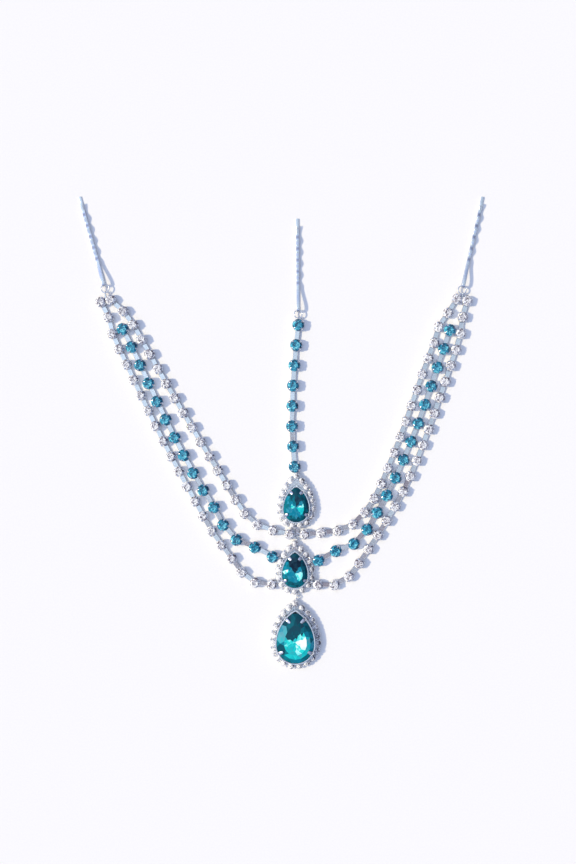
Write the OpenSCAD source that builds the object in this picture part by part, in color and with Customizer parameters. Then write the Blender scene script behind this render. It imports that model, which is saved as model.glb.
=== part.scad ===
// Hair chain: three bobby pins carry seven chains of round cut stones in cups,
// which meet at three pear-shaped pendants, each in a halo of small stones.
// It lies flat with its back on z = 0, the pins pointing to +Y.

/* [Teal stones] */
// Outer diameter of a teal stone's cup
teal_cup_d = 6.0; // [5.2:0.1:6.4]
// Height of a teal stone's cup
teal_cup_h = 2.6; // [2.3:0.1:3.2]
// Height of a teal stone's table over the rim of its cup
teal_crown = 1.3; // [0.8:0.1:1.6]
// Distance from one teal stone to the next
teal_pitch = 10.0; // [9:0.1:11]

/* [Clear stones] */
// Outer diameter of a clear stone's cup
clear_cup_d = 5.2; // [4.6:0.1:5.6]
// Height of a clear stone's cup
clear_cup_h = 2.3; // [2.1:0.1:2.8]
// Height of a clear stone's table over the rim of its cup
clear_crown = 1.1; // [0.7:0.1:1.4]
// Distance from one clear stone to the next
clear_pitch = 8.4; // [7.8:0.1:9]

/* [Cups] */
// Wall of a cup
cup_wall = 0.35; // [0.3:0.05:0.5]
// Floor of a cup, under the link's end
cup_floor = 0.4; // [0.3:0.05:0.6]
// Diameter of the post in a cup that the link hooks round
post_d = 0.7; // [0.5:0.05:0.8]
// Distance of that post from the cup's middle
post_out = 1.45; // [1.35:0.05:1.6]
// Thickness of the four claws round a stone
claw_d = 0.8; // [0.6:0.05:1]

/* [Links] */
// Width of a link's strip
link_w = 2.3; // [2:0.1:2.6]
// Thickness of a link's strip
link_t = 0.5; // [0.4:0.05:0.6]
// Width of the metal round the two eyes of a link
rail_w = 0.45; // [0.35:0.05:0.55]
// Room between a link and the post or the slot that it lies in
play = 0.15; // [0.1:0.01:0.2]

/* [Bobby pins] */
// Length of a bobby pin
pin_l = 47; // [40:1:55]
// Width of the pin's strip
pin_w = 1.6; // [1.2:0.1:2]
// Thickness of the pin's strip
pin_t = 0.45; // [0.35:0.05:0.55]
// Inner radius of the pin's bend
pin_bend = 1.4; // [1.2:0.05:1.7]
// Length by which the wavy leg is shorter than the straight one
leg_short = 3.7; // [2:0.1:5]
// Length of one wave in the wavy leg
wave_l = 5.7; // [5:0.1:6.5]
// Height of a wave over its middle line
wave_h = 0.45; // [0.2:0.05:0.6]
// Distance from the bend to the first wave
wave_from = 13.2; // [12:0.2:16]
// Lift of the wavy leg's tip over its waves
tip_lift = 0.7; // [0.4:0.1:1.2]

/* [Rings] */
// Radius of a pin's jump ring, at the middle of its wire
ring_r = 2.0; // [1.8:0.1:2.4]
// Wire of a pin's jump ring
ring_wire = 0.6; // [0.5:0.05:0.7]
// Radius of a pendant's small ring, at the middle of its wire
loop_r = 0.9; // [0.85:0.05:1.1]
// Wire of a pendant's small ring
loop_wire = 0.45; // [0.4:0.05:0.5]

/* [Pendants] */
// Width of the upper and the middle pear stone
pear_w = 13; // [12:0.5:14]
// Length of the upper and the middle pear stone
pear_l = 18; // [17:0.5:20]
// Width of the drop's pear stone
drop_w = 19; // [18:0.5:20]
// Length of the drop's pear stone
drop_l = 26; // [25:0.5:28]
// Height of the upper and the middle pear stone over the surface
pear_top = 5.2; // [4.8:0.1:6]
// Height of the drop's pear stone over the surface
drop_top = 6.4; // [5.8:0.1:7]
// Depth of a pear stone's crown, from its table to its girdle
crown_h = 1.7; // [1.2:0.1:2]
// Reach of the upper halo past the point of its stone
upper_apex = 5.1; // [4.5:0.1:6]
// Reach of the middle halo past the point of its stone
middle_apex = 3.8; // [3.4:0.1:5]
// Reach of the drop's halo past the point of its stone
drop_apex = 3.4; // [3.2:0.1:5]
// Thickness of a pendant's back plate
plate_t = 0.8; // [0.6:0.1:1.2]
// Wall of the bezel round a pear stone
bezel_t = 0.5; // [0.4:0.05:0.7]
// Width of a claw over a pear stone
pear_claw = 1.4; // [1:0.1:1.8]

/* [Halo] */
// Outer diameter of a halo stone's cup
halo_cup_d = 3.4; // [3:0.1:3.7]
// Height of a halo stone's cup
halo_cup_h = 2.2; // [1.9:0.1:2.8]
// Height of a halo stone's table over the rim of its cup
halo_crown = 0.8; // [0.5:0.1:1.1]
// Distance from one halo stone to the next
halo_pitch = 3.9; // [3.7:0.1:4.3]

/* [Hidden] */

silver = "#d5d9e0";
teal = "#1f7fa0";
deep_teal = "#0f7f90";
clear = "#eef1f6";
round_fn = 48;
tiny = 0.01;
side_fn = 24;

// Routes of the chains: a few points chosen by hand, from the pins down to the pendants.
// The cups at both ends of a route are soldered, and their places come from what holds them.
routes = [
  ["outer_left", [[-89.3, 57.0], [-87.7, 49.6], [-80.7, 34.3], [-70.1, 11.5], [-58.6, -11.5],
                  [-46.4, -34.1], [-38.0, -49.4], [-27.8, -63.2], [-22.9, -70.2], [-16.4, -75.0]]],
  ["inner_left", [[-82.6, 60.7], [-77.7, 54.5], [-73.6, 47.2], [-61.3, 25.3], [-48.6, 3.5],
                  [-35.2, -18.7], [-26.4, -33.3], [-21.7, -40.4], [-15.6, -46.0], [-8.2, -48.8]]],
  ["teal_left", [[-78.2, 43.1], [-74.1, 34.4], [-61.4, 7.3], [-47.3, -20.2], [-36.4, -38.2],
                 [-31.5, -47.3], [-24.9, -54.1], [-16.8, -57.2]]],
  ["teal_right", [[77.9, 42.2], [74.7, 33.0], [64.8, 4.2], [53.2, -23.6], [43.5, -41.7],
                  [37.7, -50.8], [31.4, -56.6], [23.9, -59.2]]],
  ["inner_right", [[80.3, 60.2], [75.4, 53.0], [73.1, 45.5], [67.2, 29.5], [55.8, -2.8],
                   [46.2, -26.5], [42.3, -34.2], [37.0, -41.6], [31.3, -46.7], [23.9, -49.4]]],
  ["outer_right", [[87.0, 57.5], [86.1, 49.6], [81.2, 33.6], [70.1, 1.5], [60.8, -22.3],
                   [52.8, -38.1], [43.6, -53.3], [38.8, -60.2], [34.4, -67.0], [29.4, -72.8],
                   [23.0, -76.2]]],
  ["centre", [[4.0, 42.9], [2.5, 23.1], [2.0, 3.0], [2.5, -7.0]]]
];
route_steps = 8;

// Places of the pins: the end of the bend, and the way the pin points
pin_places = [["left", [-91.3, 72.3], 105.8], ["centre", [5.1, 59.6], 90.5], ["right", [86.9, 71.7], 77.1]];
// Place of the circle that rounds the upper pear stone
upper_place = [4.1, -38.4];
// Sideways place of the yoke under it, slant of the bails on the two pendants below, and the way
// from the middle pendant to the ring that hangs from it
yoke_x = 4.6;
bail_slant = 22;
low_way = -83;
// Each end pair: the way from its ring, how far away it lies, and its own slant
pair_places = [["left", -87, 6.2, 13], ["right", -90, 5.0, -10]];
// Where the chains' last cups are soldered on the middle halo, as angles round it
middle_joints = [["teal_left", 157], ["teal_right", 18], ["outer_left", -157], ["outer_right", -24]];
// The last cup of the centre chain is soldered over the upper halo's first stone
centre_joint = 100;

// Kinds of cups: outer diameter, height, height of the stone over the rim, colour of the stone
teal_kind = [teal_cup_d, teal_cup_h, teal_crown, teal];
clear_kind = [clear_cup_d, clear_cup_h, clear_crown, clear];

// Slot of a cup, as high as the link that lies in it needs, and the mouth that the link leaves by
slot_h = link_t + 2 * play;
side_play = 0.25;
mouth_w = link_w + 2 * side_play;
// Inner face of a link's end, out from the middle of its cup
hook_in = post_out - post_d / 2 - play;
// Length of the eye that goes over a post
eye_l = post_d + 2 * play;

// Solder: how far it sinks in, and the bars that lie over the slots of the cups
solder_in = 0.1;
solder_w = 1.2;
bar_z = cup_floor + slot_h + solder_in;
bar_h = clear_cup_h - bar_z - solder_in;
stem_in = clear_cup_d / 6;

// Claws: depth of the middle of a cup's claw in its wall, places and reach of a pear stone's claws
claw_in = claw_d * 0.42;
claw_high = 0.3;
claw_low = -28;
claw_reach = 0.25;

// Bails: just wide enough for the ring that goes through. A pin's ring lies at half the height of
// its bend, and a pendant's small ring just over half the height of the halo's cups.
bail_wire = 0.4;
bail_r = ring_wire / 2 + play + bail_wire / 2;
small_bail_wire = 0.3;
small_bail_r = loop_wire / 2 + play + small_bail_wire / 2;
ring_z = pin_t + pin_bend;
small_ring_z = (halo_cup_h + solder_in) / 2;

// Stones: share of the table, girdles of a pear stone and a round one, and the gap round a pear
// stone in its bezel
round_sides = 8;
pear_sides = 24;
table_share = 0.6;
girdle_h = 0.3;
round_girdle = 0.1;
stone_gap = 0.12;

// The halo's cups sink into the bezel, and a yoke under the upper halo holds two cups
halo_in = 0.4;
halo_out = bezel_t + halo_cup_d / 2 - halo_in;
yoke_w = 1.0;
yoke_reach = 3.75;

// Steps in which the line of a bobby pin is drawn
bend_step = 15;
slope_steps = 4;
wave_steps = 10;
// Distance from a pin's bend to the middle of its ring, which lies against the bend from inside
ring_out = sqrt(pow(ring_r, 2) - pow(pin_w / 2, 2)) - pin_t - ring_wire / 2 - play;

// One value of a table by its name
function named(table, name) = [for (row = table) if (row[0] == name) row][0];
function unit(angle) = [cos(angle), sin(angle)];
function way(from, to) = atan2(to.y - from.y, to.x - from.x);

// A smooth curve through the points of a route, and places at equal steps along it
function spline(a, b, c, d, t) =
  (2 * b + (c - a) * t + (2 * a - 5 * b + 4 * c - d) * t * t + (3 * b - a - 3 * c + d) * t * t * t) / 2;
function smooth(points, last) = [
  for (i = [0:last - 1], k = [0:route_steps - 1])
    spline(points[max(i - 1, 0)], points[i], points[i + 1], points[min(i + 2, last)], k / route_steps),
  points[last]
];
function lengths(path) = [
  for (i = 0, sum = 0; i < len(path);
       i = i + 1, sum = sum + (i < len(path) ? norm(path[i] - path[i - 1]) : 0))
    sum
];
function along(path, marks, s, k) =
  path[k] + (path[k + 1] - path[k]) * (s - marks[k]) / (marks[k + 1] - marks[k]);
function step_at(marks, s) = max([for (k = [0:len(marks) - 2]) if (marks[k] <= s + tiny / 10) k]);
function spaced(points, pitch) =
  let (path = smooth(points, len(points) - 1), marks = lengths(path), total = marks[len(marks) - 1],
       count = round(total / pitch))
  [for (i = [0:count]) let (s = total * i / count)
    along(path, marks, s, min(step_at(marks, s), len(path) - 2))];

// Outline of a pear stone: a circle of radius r below, and two arcs to a point at height p
function arc_r(r, p) = (p * p + r * r) / (2 * r);
function arc_span(r, p) = asin(p / arc_r(r, p));
function arc_l(r, p) = arc_r(r, p) * arc_span(r, p) * PI / 180;
function pear_around(r, p) = 2 * arc_l(r, p) + PI * r;
function pear_side(r, p, angle) =
  abs(cos(angle)) < tiny || angle < 0
  ? r * unit(angle)
  : [r - arc_r(r, p), 0] + arc_r(r, p) * unit(angle);
// Way outwards at distance s from the point, down the right side and up the left one
function pear_way(r, p, s) =
  let (side = arc_l(r, p), half = pear_around(r, p) / 2)
  s > half ? 180 - pear_way(r, p, 2 * half - s)
  : s < side ? arc_span(r, p) - s / arc_r(r, p) * 180 / PI
  : -(s - side) / r * 180 / PI;
function pear_at(r, p, s) =
  let (half = pear_around(r, p) / 2)
  s > half ? let (q = pear_at(r, p, 2 * half - s)) [-q.x, q.y]
  : pear_side(r, p, pear_way(r, p, s));
function pear_ring(r, p, count, shift = 0) =
  [for (i = [0:count - 1]) pear_at(r, p, pear_around(r, p) * ((i + shift) % count) / count)];

// Rows of the pendants: radius of the stone's round end, height of its point over that circle's
// middle, reach of the halo past the point, height of the table
function pendant_row(w, l, apex, top) = [w / 2, l - w / 2, apex, top];
upper = pendant_row(pear_w, pear_l, upper_apex, pear_top);
middle = pendant_row(pear_w, pear_l, middle_apex, pear_top);
drop = pendant_row(drop_w, drop_l, drop_apex, drop_top);
function halo_r(row) = row[0] + halo_out;
function halo_p(row) = row[1] + row[2];
function halo_low(row) = halo_r(row) + halo_cup_d / 2;
function halo_l(row) = pear_around(halo_r(row), halo_p(row));
function halo_count(row) = round(halo_l(row) / halo_pitch);

// Places of the pendants, each hung from the one above
yoke_place = [yoke_x, upper_place.y - halo_low(upper) - clear_cup_d / 2 + solder_in];
hang = loop_r + small_bail_r;
upper_ring_place = yoke_place - [0, yoke_w / 2 + hang];
function below_ring(place, row) =
  place - (hang + halo_cup_d / 2) * unit(90 - bail_slant) - [0, halo_p(row)];
middle_place = below_ring(upper_ring_place, middle);
lower_ring_place = middle_place + (halo_low(middle) + hang) * unit(low_way);
drop_place = below_ring(lower_ring_place, drop);
function beside_halo(row, angle, cup_d) =
  let (q = abs(angle) > 90 ? 180 - angle : angle, turned = q > 180 ? q - 360 : q,
       p = pear_side(halo_r(row), halo_p(row), turned))
  [abs(angle) > 90 ? -p.x : p.x, p.y] + unit(angle) * (halo_cup_d / 2 + cup_d / 2 - solder_in);

// Places of the rings, the end pairs and the chains' first and last cups
function pin_end(side) = named(pin_places, side)[1];
function pin_way(side) = named(pin_places, side)[2];
function ring_place(side) = pin_end(side) - ring_out * unit(pin_way(side));
function pair_middle(side) = let (row = named(pair_places, side)) ring_place(side) + row[2] * unit(row[1]);
function pair_cup(side, sign) =
  pair_middle(side) + sign * (clear_cup_d / 2 - solder_in / 2) * unit(named(pair_places, side)[3]);
centre_first = ring_place("centre") - [0, ring_r + bail_r + teal_cup_d / 2 - bail_wire / 2];
centre_last = upper_place + [0, halo_p(upper)]
  + (halo_cup_d / 2 + teal_cup_d / 2 - solder_in) * unit(centre_joint);
function yoke_cup(sign) = yoke_place + [sign * yoke_reach, 0];
function middle_cup(name, cup_d) =
  middle_place + beside_halo(middle, named(middle_joints, name)[1], cup_d);

function route(name) = named(routes, name)[1];
function outer_cups(side, sign) =
  let (name = str("outer_", side))
  spaced(concat([pair_cup(side, sign)], route(name), [middle_cup(name, clear_cup_d)]), clear_pitch);
function inner_cups(side, sign) =
  spaced(concat([pair_cup(side, -sign)], route(str("inner_", side)), [yoke_cup(sign)]), clear_pitch);
outer_left = outer_cups("left", -1);
outer_right = outer_cups("right", 1);
inner_left = inner_cups("left", -1);
inner_right = inner_cups("right", 1);
// The teal chains start between the third cups of the outer and the inner chain
joined = 2;
function teal_first(outer, inner) = (outer[joined] + inner[joined]) / 2;
function teal_cups(side, outer, inner) =
  let (name = str("teal_", side))
  spaced(concat([teal_first(outer, inner)], route(name), [middle_cup(name, teal_cup_d)]), teal_pitch);
teal_left = teal_cups("left", outer_left, inner_left);
teal_right = teal_cups("right", outer_right, inner_right);
centre = spaced(concat([centre_first], route("centre"), [centre_last]), teal_pitch);

// The middle of the outline, between the corners of the pins' tips and the drop's lowest stone
tips = [for (row = pin_places, side = [-1, 1])
  row[1] + pin_l * unit(row[2]) + side * pin_w / 2 * unit(row[2] + 90)];
low_end = drop_place.y - halo_cup_d / 2
  + min([for (q = pear_ring(halo_r(drop), halo_p(drop), halo_count(drop))) q.y]);
outline_middle = [
  (min([for (q = tips) q.x]) + max([for (q = tips) q.x])) / 2,
  (max([for (q = tips) q.y]) + low_end) / 2
];
module placed() { translate(-outline_middle) children(); }

// Ways from one cup of a chain to the cups before and after it
function ways(cups, i) = [
  if (i > 0) way(cups[i], cups[i - 1]),
  if (i < len(cups) - 1) way(cups[i], cups[i + 1])
];
// Lie of a cup: along the chain at its place
function lie(cups, i) = way(cups[max(i - 1, 0)], cups[min(i + 1, len(cups) - 1)]);

// A stone with a table and eight crown facets each way, whose girdle stands just over its cup's rim
module round_stone(d, h, sink) {
  sides = round_sides;
  turn = 360 / sides;
  ring = function (r, shift, z)
    [for (i = [0:sides - 1]) [r * cos(turn * (i + shift)), r * sin(turn * (i + shift)), z]];
  points = concat(ring(d / 2, 0, -sink), ring(d / 2, 0, round_girdle), ring(d / 2 * table_share, 0.5, h));
  next = function (i) (i + 1) % sides;
  polyhedron(points, concat(
    [[for (i = [0:sides - 1]) i]],
    [for (i = [0:sides - 1]) [i, i + sides, next(i) + sides, next(i)]],
    [for (i = [0:sides - 1]) [i + sides, i + 2 * sides, next(i) + sides]],
    [for (i = [0:sides - 1]) [i + 2 * sides, next(i) + 2 * sides, next(i) + sides]],
    [[for (i = [sides - 1:-1:0]) i + 2 * sides]]
  ));
}

// A pear stone: table, crown facets, girdle and a pavilion that ends in a point
module pear_stone(row) {
  girdle_z = row[3] - crown_h;
  count = pear_sides;
  middle_y = row[1] * (1 - table_share) / 2;
  ring = function (share, shift, z)
    [for (q = pear_ring(row[0] - stone_gap, row[1] - stone_gap, count, shift))
      [q.x * share, middle_y * (1 - share) + q.y * share, z]];
  points = concat(
    [[0, middle_y, plate_t + stone_gap]],
    ring(1, 0, girdle_z - girdle_h), ring(1, 0, girdle_z), ring(table_share, 0.5, row[3])
  );
  next = function (i) (i + 1) % count;
  polyhedron(points, concat(
    [for (i = [0:count - 1]) [0, 1 + next(i), 1 + i]],
    [for (i = [0:count - 1]) [1 + i, 1 + next(i), 1 + next(i) + count, 1 + i + count]],
    [for (i = [0:count - 1]) [1 + i + count, 1 + next(i) + count, 1 + i + 2 * count]],
    [for (i = [0:count - 1]) [1 + next(i) + count, 1 + next(i) + 2 * count, 1 + i + 2 * count]],
    [[for (i = [0:count - 1]) 1 + i + 2 * count]]
  ));
}

// Cup number i of a chain, with its stone. A post for each link stands in the slot over the floor.
module cup(kind, cups, i) {
  r = kind[0] / 2;
  h = kind[1];
  color(silver) translate(cups[i]) {
    difference() {
      cylinder(r = r, h = h, $fn = round_fn);
      translate([0, 0, cup_floor]) difference() {
        union() {
          cylinder(r = r - cup_wall, h = slot_h, $fn = round_fn);
          for (a = ways(cups, i))
            rotate(a) translate([hook_in, -mouth_w / 2, 0]) cube([r, mouth_w, slot_h]);
        }
        for (a = ways(cups, i))
          rotate(a) translate([post_out, 0, -tiny])
            cylinder(d = post_d, h = slot_h + 2 * tiny, $fn = side_fn);
      }
    }
    for (a = [45:90:315])
      rotate(lie(cups, i) + a) translate([r - claw_in, 0, bar_z])
        cylinder(d = claw_d, h = h + kind[2] / 2 - bar_z, $fn = side_fn);
  }
  color(kind[3]) translate([cups[i].x, cups[i].y, h])
    rotate(lie(cups, i)) round_stone(kind[0] - cup_wall, kind[2], cup_wall);
}

// A link: a flat strip with an eye at each end, hooked round a post in each cup
module link(from, to) {
  half = norm(to - from) / 2 - hook_in;
  color(silver)
    translate([(from.x + to.x) / 2, (from.y + to.y) / 2, cup_floor + slot_h / 2])
      rotate(way(from, to)) difference() {
        cube([2 * (half + rail_w), link_w, link_t], center = true);
        for (side = [-1, 1])
          translate([side * (half - eye_l / 2), 0, 0])
            cube([eye_l, link_w - 2 * rail_w, 2 * link_t], center = true);
      }
}

// The loose cups of a chain, without those that are soldered, and all its links
module chain(kind, cups, soldered) {
  for (i = [0:len(cups) - 1])
    if (len([for (k = soldered) if (k == i) k]) == 0) cup(kind, cups, i);
  for (i = [0:len(cups) - 2]) link(cups[i], cups[i + 1]);
}

// A bar of solder between two places, above the slots of the cups
module solder(from, to, z = bar_z, h = bar_h, w = solder_w) {
  color(silver) translate([from.x, from.y, z]) rotate(way(from, to))
    translate([0, -w / 2, 0]) cube([norm(to - from), w, h]);
}

// An upright loop that a flat ring passes through
module bail(r, wire, angle, z) {
  color(silver) translate([0, 0, z]) rotate([90, 0, angle])
    rotate_extrude($fn = round_fn) translate([r, 0]) circle(d = wire, $fn = side_fn);
}
module flat_ring(place, r, wire, z) {
  color(silver) translate([place.x, place.y, z])
    rotate_extrude($fn = round_fn) translate([r, 0]) circle(d = wire, $fn = side_fn);
}

// Middle line of a bobby pin from its straight leg's tip round the bend to the wavy leg's tip
wave_low = pin_t + play + pin_t / 2;
wave_count = floor((pin_l - leg_short - wave_from) / wave_l - 0.5);
wave_to = wave_from + (wave_count + 0.5) * wave_l;
bend_mid = pin_bend + pin_t / 2;
bend_top = pin_t / 2 + 2 * bend_mid;
function leg_z(x) =
  x < wave_from ? let (t = (x - bend_mid - pin_t / 2) / (wave_from - bend_mid - pin_t / 2))
    bend_top + (wave_low + 2 * wave_h - bend_top) * (1 - cos(180 * t)) / 2
  : x < wave_to ? wave_low + wave_h * (1 + cos(360 * (x - wave_from) / wave_l))
  : wave_low + tip_lift * (1 - cos(180 * (x - wave_to) / (pin_l - leg_short - wave_to))) / 2;
pin_line = concat(
  [[pin_l, pin_t / 2]],
  [for (a = [270:-bend_step:90]) [pin_t / 2 + bend_mid, pin_t / 2 + bend_mid] + bend_mid * unit(a)],
  [for (x = [wave_from / slope_steps:wave_from / slope_steps:wave_from - tiny]) [x, leg_z(x)]],
  [for (x = [wave_from:wave_l / wave_steps:pin_l - leg_short]) [x, leg_z(x)]]
);
function line_way(line, i) = way(line[max(i - 1, 0)], line[min(i + 1, len(line) - 1)]);
function beside_line(line, out) = [for (i = [0:len(line) - 1]) line[i] + out * unit(line_way(line, i) + 90)];
module bobby_pin(side) {
  left = beside_line(pin_line, pin_t / 2);
  right = beside_line(pin_line, -pin_t / 2);
  color(silver) translate(pin_end(side)) rotate([90, 0, pin_way(side)]) translate([0, 0, -pin_w / 2])
    linear_extrude(pin_w) polygon(concat(left, [for (i = [len(right) - 1:-1:0]) right[i]]));
}

// Two first cups soldered side by side, with a stem and a bail for the pin's ring
module end_pair(side, sign, outer, inner) {
  row = named(pair_places, side);
  bail_place = ring_place(side) + ring_r * unit(row[1]);
  stem_from = bail_place + bail_r * unit(row[1]);
  stem_to = pair_middle(side) - stem_in * unit(row[1]);
  cup(clear_kind, outer, 0);
  cup(clear_kind, inner, 0);
  solder(outer[0], inner[0]);
  solder(stem_from, stem_to, ring_z - bail_wire, 2 * bail_wire, 2 * bail_wire);
  solder(stem_from, pair_middle(side), bar_z, bail_wire, 2 * bail_wire);
  translate(bail_place) bail(bail_r, bail_wire, row[1], ring_z);
}

// The third cups of the clear chains, soldered to the first cup of the teal chain
module joined_cups(outer, inner, teal_chain) {
  cup(clear_kind, outer, joined);
  cup(clear_kind, inner, joined);
  cup(teal_kind, teal_chain, 0);
  solder(outer[joined], inner[joined]);
}

// Flat pear outline of radius r and point height p
module pear_outline(r, p) {
  circle(r, $fn = 2 * round_fn);
  intersection() {
    translate([r - arc_r(r, p), 0]) circle(arc_r(r, p), $fn = 4 * round_fn);
    translate([arc_r(r, p) - r, 0]) circle(arc_r(r, p), $fn = 4 * round_fn);
    translate([-r, 0]) square([2 * r, p]);
  }
}

// A halo stone in its cup
module halo_stone(turn) {
  color(silver) cylinder(d = halo_cup_d, h = halo_cup_h, $fn = side_fn);
  color(clear) translate([0, 0, halo_cup_h]) rotate(turn)
    round_stone(halo_cup_d - cup_wall, halo_crown, cup_wall);
}

// A claw that stands on the bezel and leans over the crown of a pear stone
module pear_claw_at(row, place, angle) {
  girdle_z = row[3] - crown_h;
  slope = atan(crown_h / (row[0] * (1 - table_share)));
  reach = row[0] * claw_reach;
  post_h = girdle_z + 2 * stone_gap + bezel_t - plate_t / 2;
  color(silver) translate(place) rotate(angle) {
    translate([stone_gap, -pear_claw / 2, plate_t / 2]) cube([bezel_t, pear_claw, post_h]);
    translate([bezel_t + stone_gap, 0, girdle_z]) rotate([0, slope, 0])
      translate([-reach - bezel_t, -pear_claw / 2, 2 * stone_gap])
        cube([reach + bezel_t, pear_claw, bezel_t]);
  }
}

// Back plate, bezel, claws and halo of one pendant, round the middle of its circle
module setting(row) {
  girdle_z = row[3] - crown_h;
  count = halo_count(row);
  wall_r = row[0] + bezel_t;
  wall_p = row[1] + bezel_t / sin(90 - arc_span(row[0], row[1]));
  color(silver) difference() {
    union() {
      linear_extrude(plate_t) pear_outline(halo_r(row), halo_p(row));
      linear_extrude(girdle_z) pear_outline(wall_r, wall_p);
    }
    translate([0, 0, plate_t]) linear_extrude(girdle_z) pear_outline(row[0], row[1]);
  }
  for (i = [0:count - 1]) {
    s = halo_l(row) * i / count;
    translate(pear_at(halo_r(row), halo_p(row), s)) halo_stone(pear_way(halo_r(row), halo_p(row), s));
  }
  for (side = [0, 1]) mirror([side, 0, 0]) {
    high = pear_way(row[0], row[1], arc_l(row[0], row[1]) * claw_high);
    for (angle = [high, claw_low]) pear_claw_at(row, pear_side(row[0], row[1], angle), angle);
  }
}
module set_stone(row, place) { color(deep_teal) translate(place) pear_stone(row); }

// A small bail that stands off at a place, on a stem that reaches back from there
module small_bail(place, angle, depth) {
  stem_t = 2 * small_bail_wire;
  solder(place - depth * unit(angle), place + small_bail_wire / 2 * unit(angle),
         small_ring_z - stem_t / 2, stem_t, stem_t);
  translate(place + small_bail_r * unit(angle)) bail(small_bail_r, small_bail_wire, angle, small_ring_z);
}
module top_bail(row) {
  angle = 90 - bail_slant;
  small_bail([0, halo_p(row)] + halo_cup_d / 2 * unit(angle), angle, halo_cup_d / 4);
}

module pin_left() { placed() bobby_pin("left"); }
module pin_centre() { placed() bobby_pin("centre"); }
module pin_right() { placed() bobby_pin("right"); }
module ring_left() { placed() flat_ring(ring_place("left"), ring_r, ring_wire, ring_z); }
module ring_centre() { placed() flat_ring(ring_place("centre"), ring_r, ring_wire, ring_z); }
module ring_right() { placed() flat_ring(ring_place("right"), ring_r, ring_wire, ring_z); }
module end_pair_left() { placed() end_pair("left", -1, outer_left, inner_left); }
module end_pair_right() { placed() end_pair("right", 1, outer_right, inner_right); }
module joined_cups_left() { placed() joined_cups(outer_left, inner_left, teal_left); }
module joined_cups_right() { placed() joined_cups(outer_right, inner_right, teal_right); }
module outer_chain_left() { placed() chain(clear_kind, outer_left, [0, joined, len(outer_left) - 1]); }
module outer_chain_right() { placed() chain(clear_kind, outer_right, [0, joined, len(outer_right) - 1]); }
module inner_chain_left() { placed() chain(clear_kind, inner_left, [0, joined, len(inner_left) - 1]); }
module inner_chain_right() { placed() chain(clear_kind, inner_right, [0, joined, len(inner_right) - 1]); }
module teal_chain_left() { placed() chain(teal_kind, teal_left, [0, len(teal_left) - 1]); }
module teal_chain_right() { placed() chain(teal_kind, teal_right, [0, len(teal_right) - 1]); }
// The centre chain's first cup has a bail of its own for the pin's ring
module centre_chain() {
  placed() {
    chain(teal_kind, centre, [len(centre) - 1]);
    translate(ring_place("centre") - [0, ring_r]) bail(bail_r, bail_wire, 90, ring_z);
  }
}
// The last cup of a chain, with its solder that reaches towards the halo
module last_cup(kind, cups, angle) {
  last = len(cups) - 1;
  cup(kind, cups, last);
  solder(cups[last], cups[last] - (halo_cup_d + kind[0]) / 2 * unit(angle));
}
module upper_setting() {
  gap = yoke_reach - clear_cup_d / 2 + cup_wall / 2;
  placed() {
    translate(upper_place) setting(upper);
    last_cup(teal_kind, centre, centre_joint);
    for (cups = [inner_left, inner_right]) cup(clear_kind, cups, len(cups) - 1);
    color(silver) {
      translate([yoke_place.x - gap, yoke_place.y - yoke_w / 2, plate_t / 2]) cube([2 * gap, yoke_w, bar_z]);
      translate([yoke_place.x - yoke_w, yoke_place.y, 0]) cube([2 * yoke_w, halo_cup_d, plate_t]);
    }
    small_bail([yoke_place.x, yoke_place.y - yoke_w / 2], -90, yoke_w / 2);
  }
}
module middle_setting() {
  placed() {
    translate(middle_place) {
      setting(middle);
      top_bail(middle);
    }
    small_bail(middle_place + halo_low(middle) * unit(low_way), low_way, halo_cup_d / 2);
    for (row = [["teal_left", teal_kind, teal_left], ["teal_right", teal_kind, teal_right],
                ["outer_left", clear_kind, outer_left], ["outer_right", clear_kind, outer_right]])
      last_cup(row[1], row[2], named(middle_joints, row[0])[1]);
  }
}
module drop_setting() {
  placed() translate(drop_place) {
    setting(drop);
    top_bail(drop);
  }
}
module upper_stone() { placed() set_stone(upper, upper_place); }
module middle_stone() { placed() set_stone(middle, middle_place); }
module drop_stone() { placed() set_stone(drop, drop_place); }
module upper_ring() { placed() flat_ring(upper_ring_place, loop_r, loop_wire, small_ring_z); }
module lower_ring() { placed() flat_ring(lower_ring_place, loop_r, loop_wire, small_ring_z); }

pin_left();
pin_centre();
pin_right();
ring_left();
ring_centre();
ring_right();
end_pair_left();
end_pair_right();
joined_cups_left();
joined_cups_right();
outer_chain_left();
teal_chain_left();
inner_chain_left();
centre_chain();
inner_chain_right();
teal_chain_right();
outer_chain_right();
upper_setting();
upper_stone();
upper_ring();
middle_setting();
middle_stone();
lower_ring();
drop_setting();
drop_stone();
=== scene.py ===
import logging
import math
from dataclasses import dataclass, field
from enum import Enum

import bmesh
import bpy
import numpy as np
from mathutils import Matrix, Vector


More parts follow.
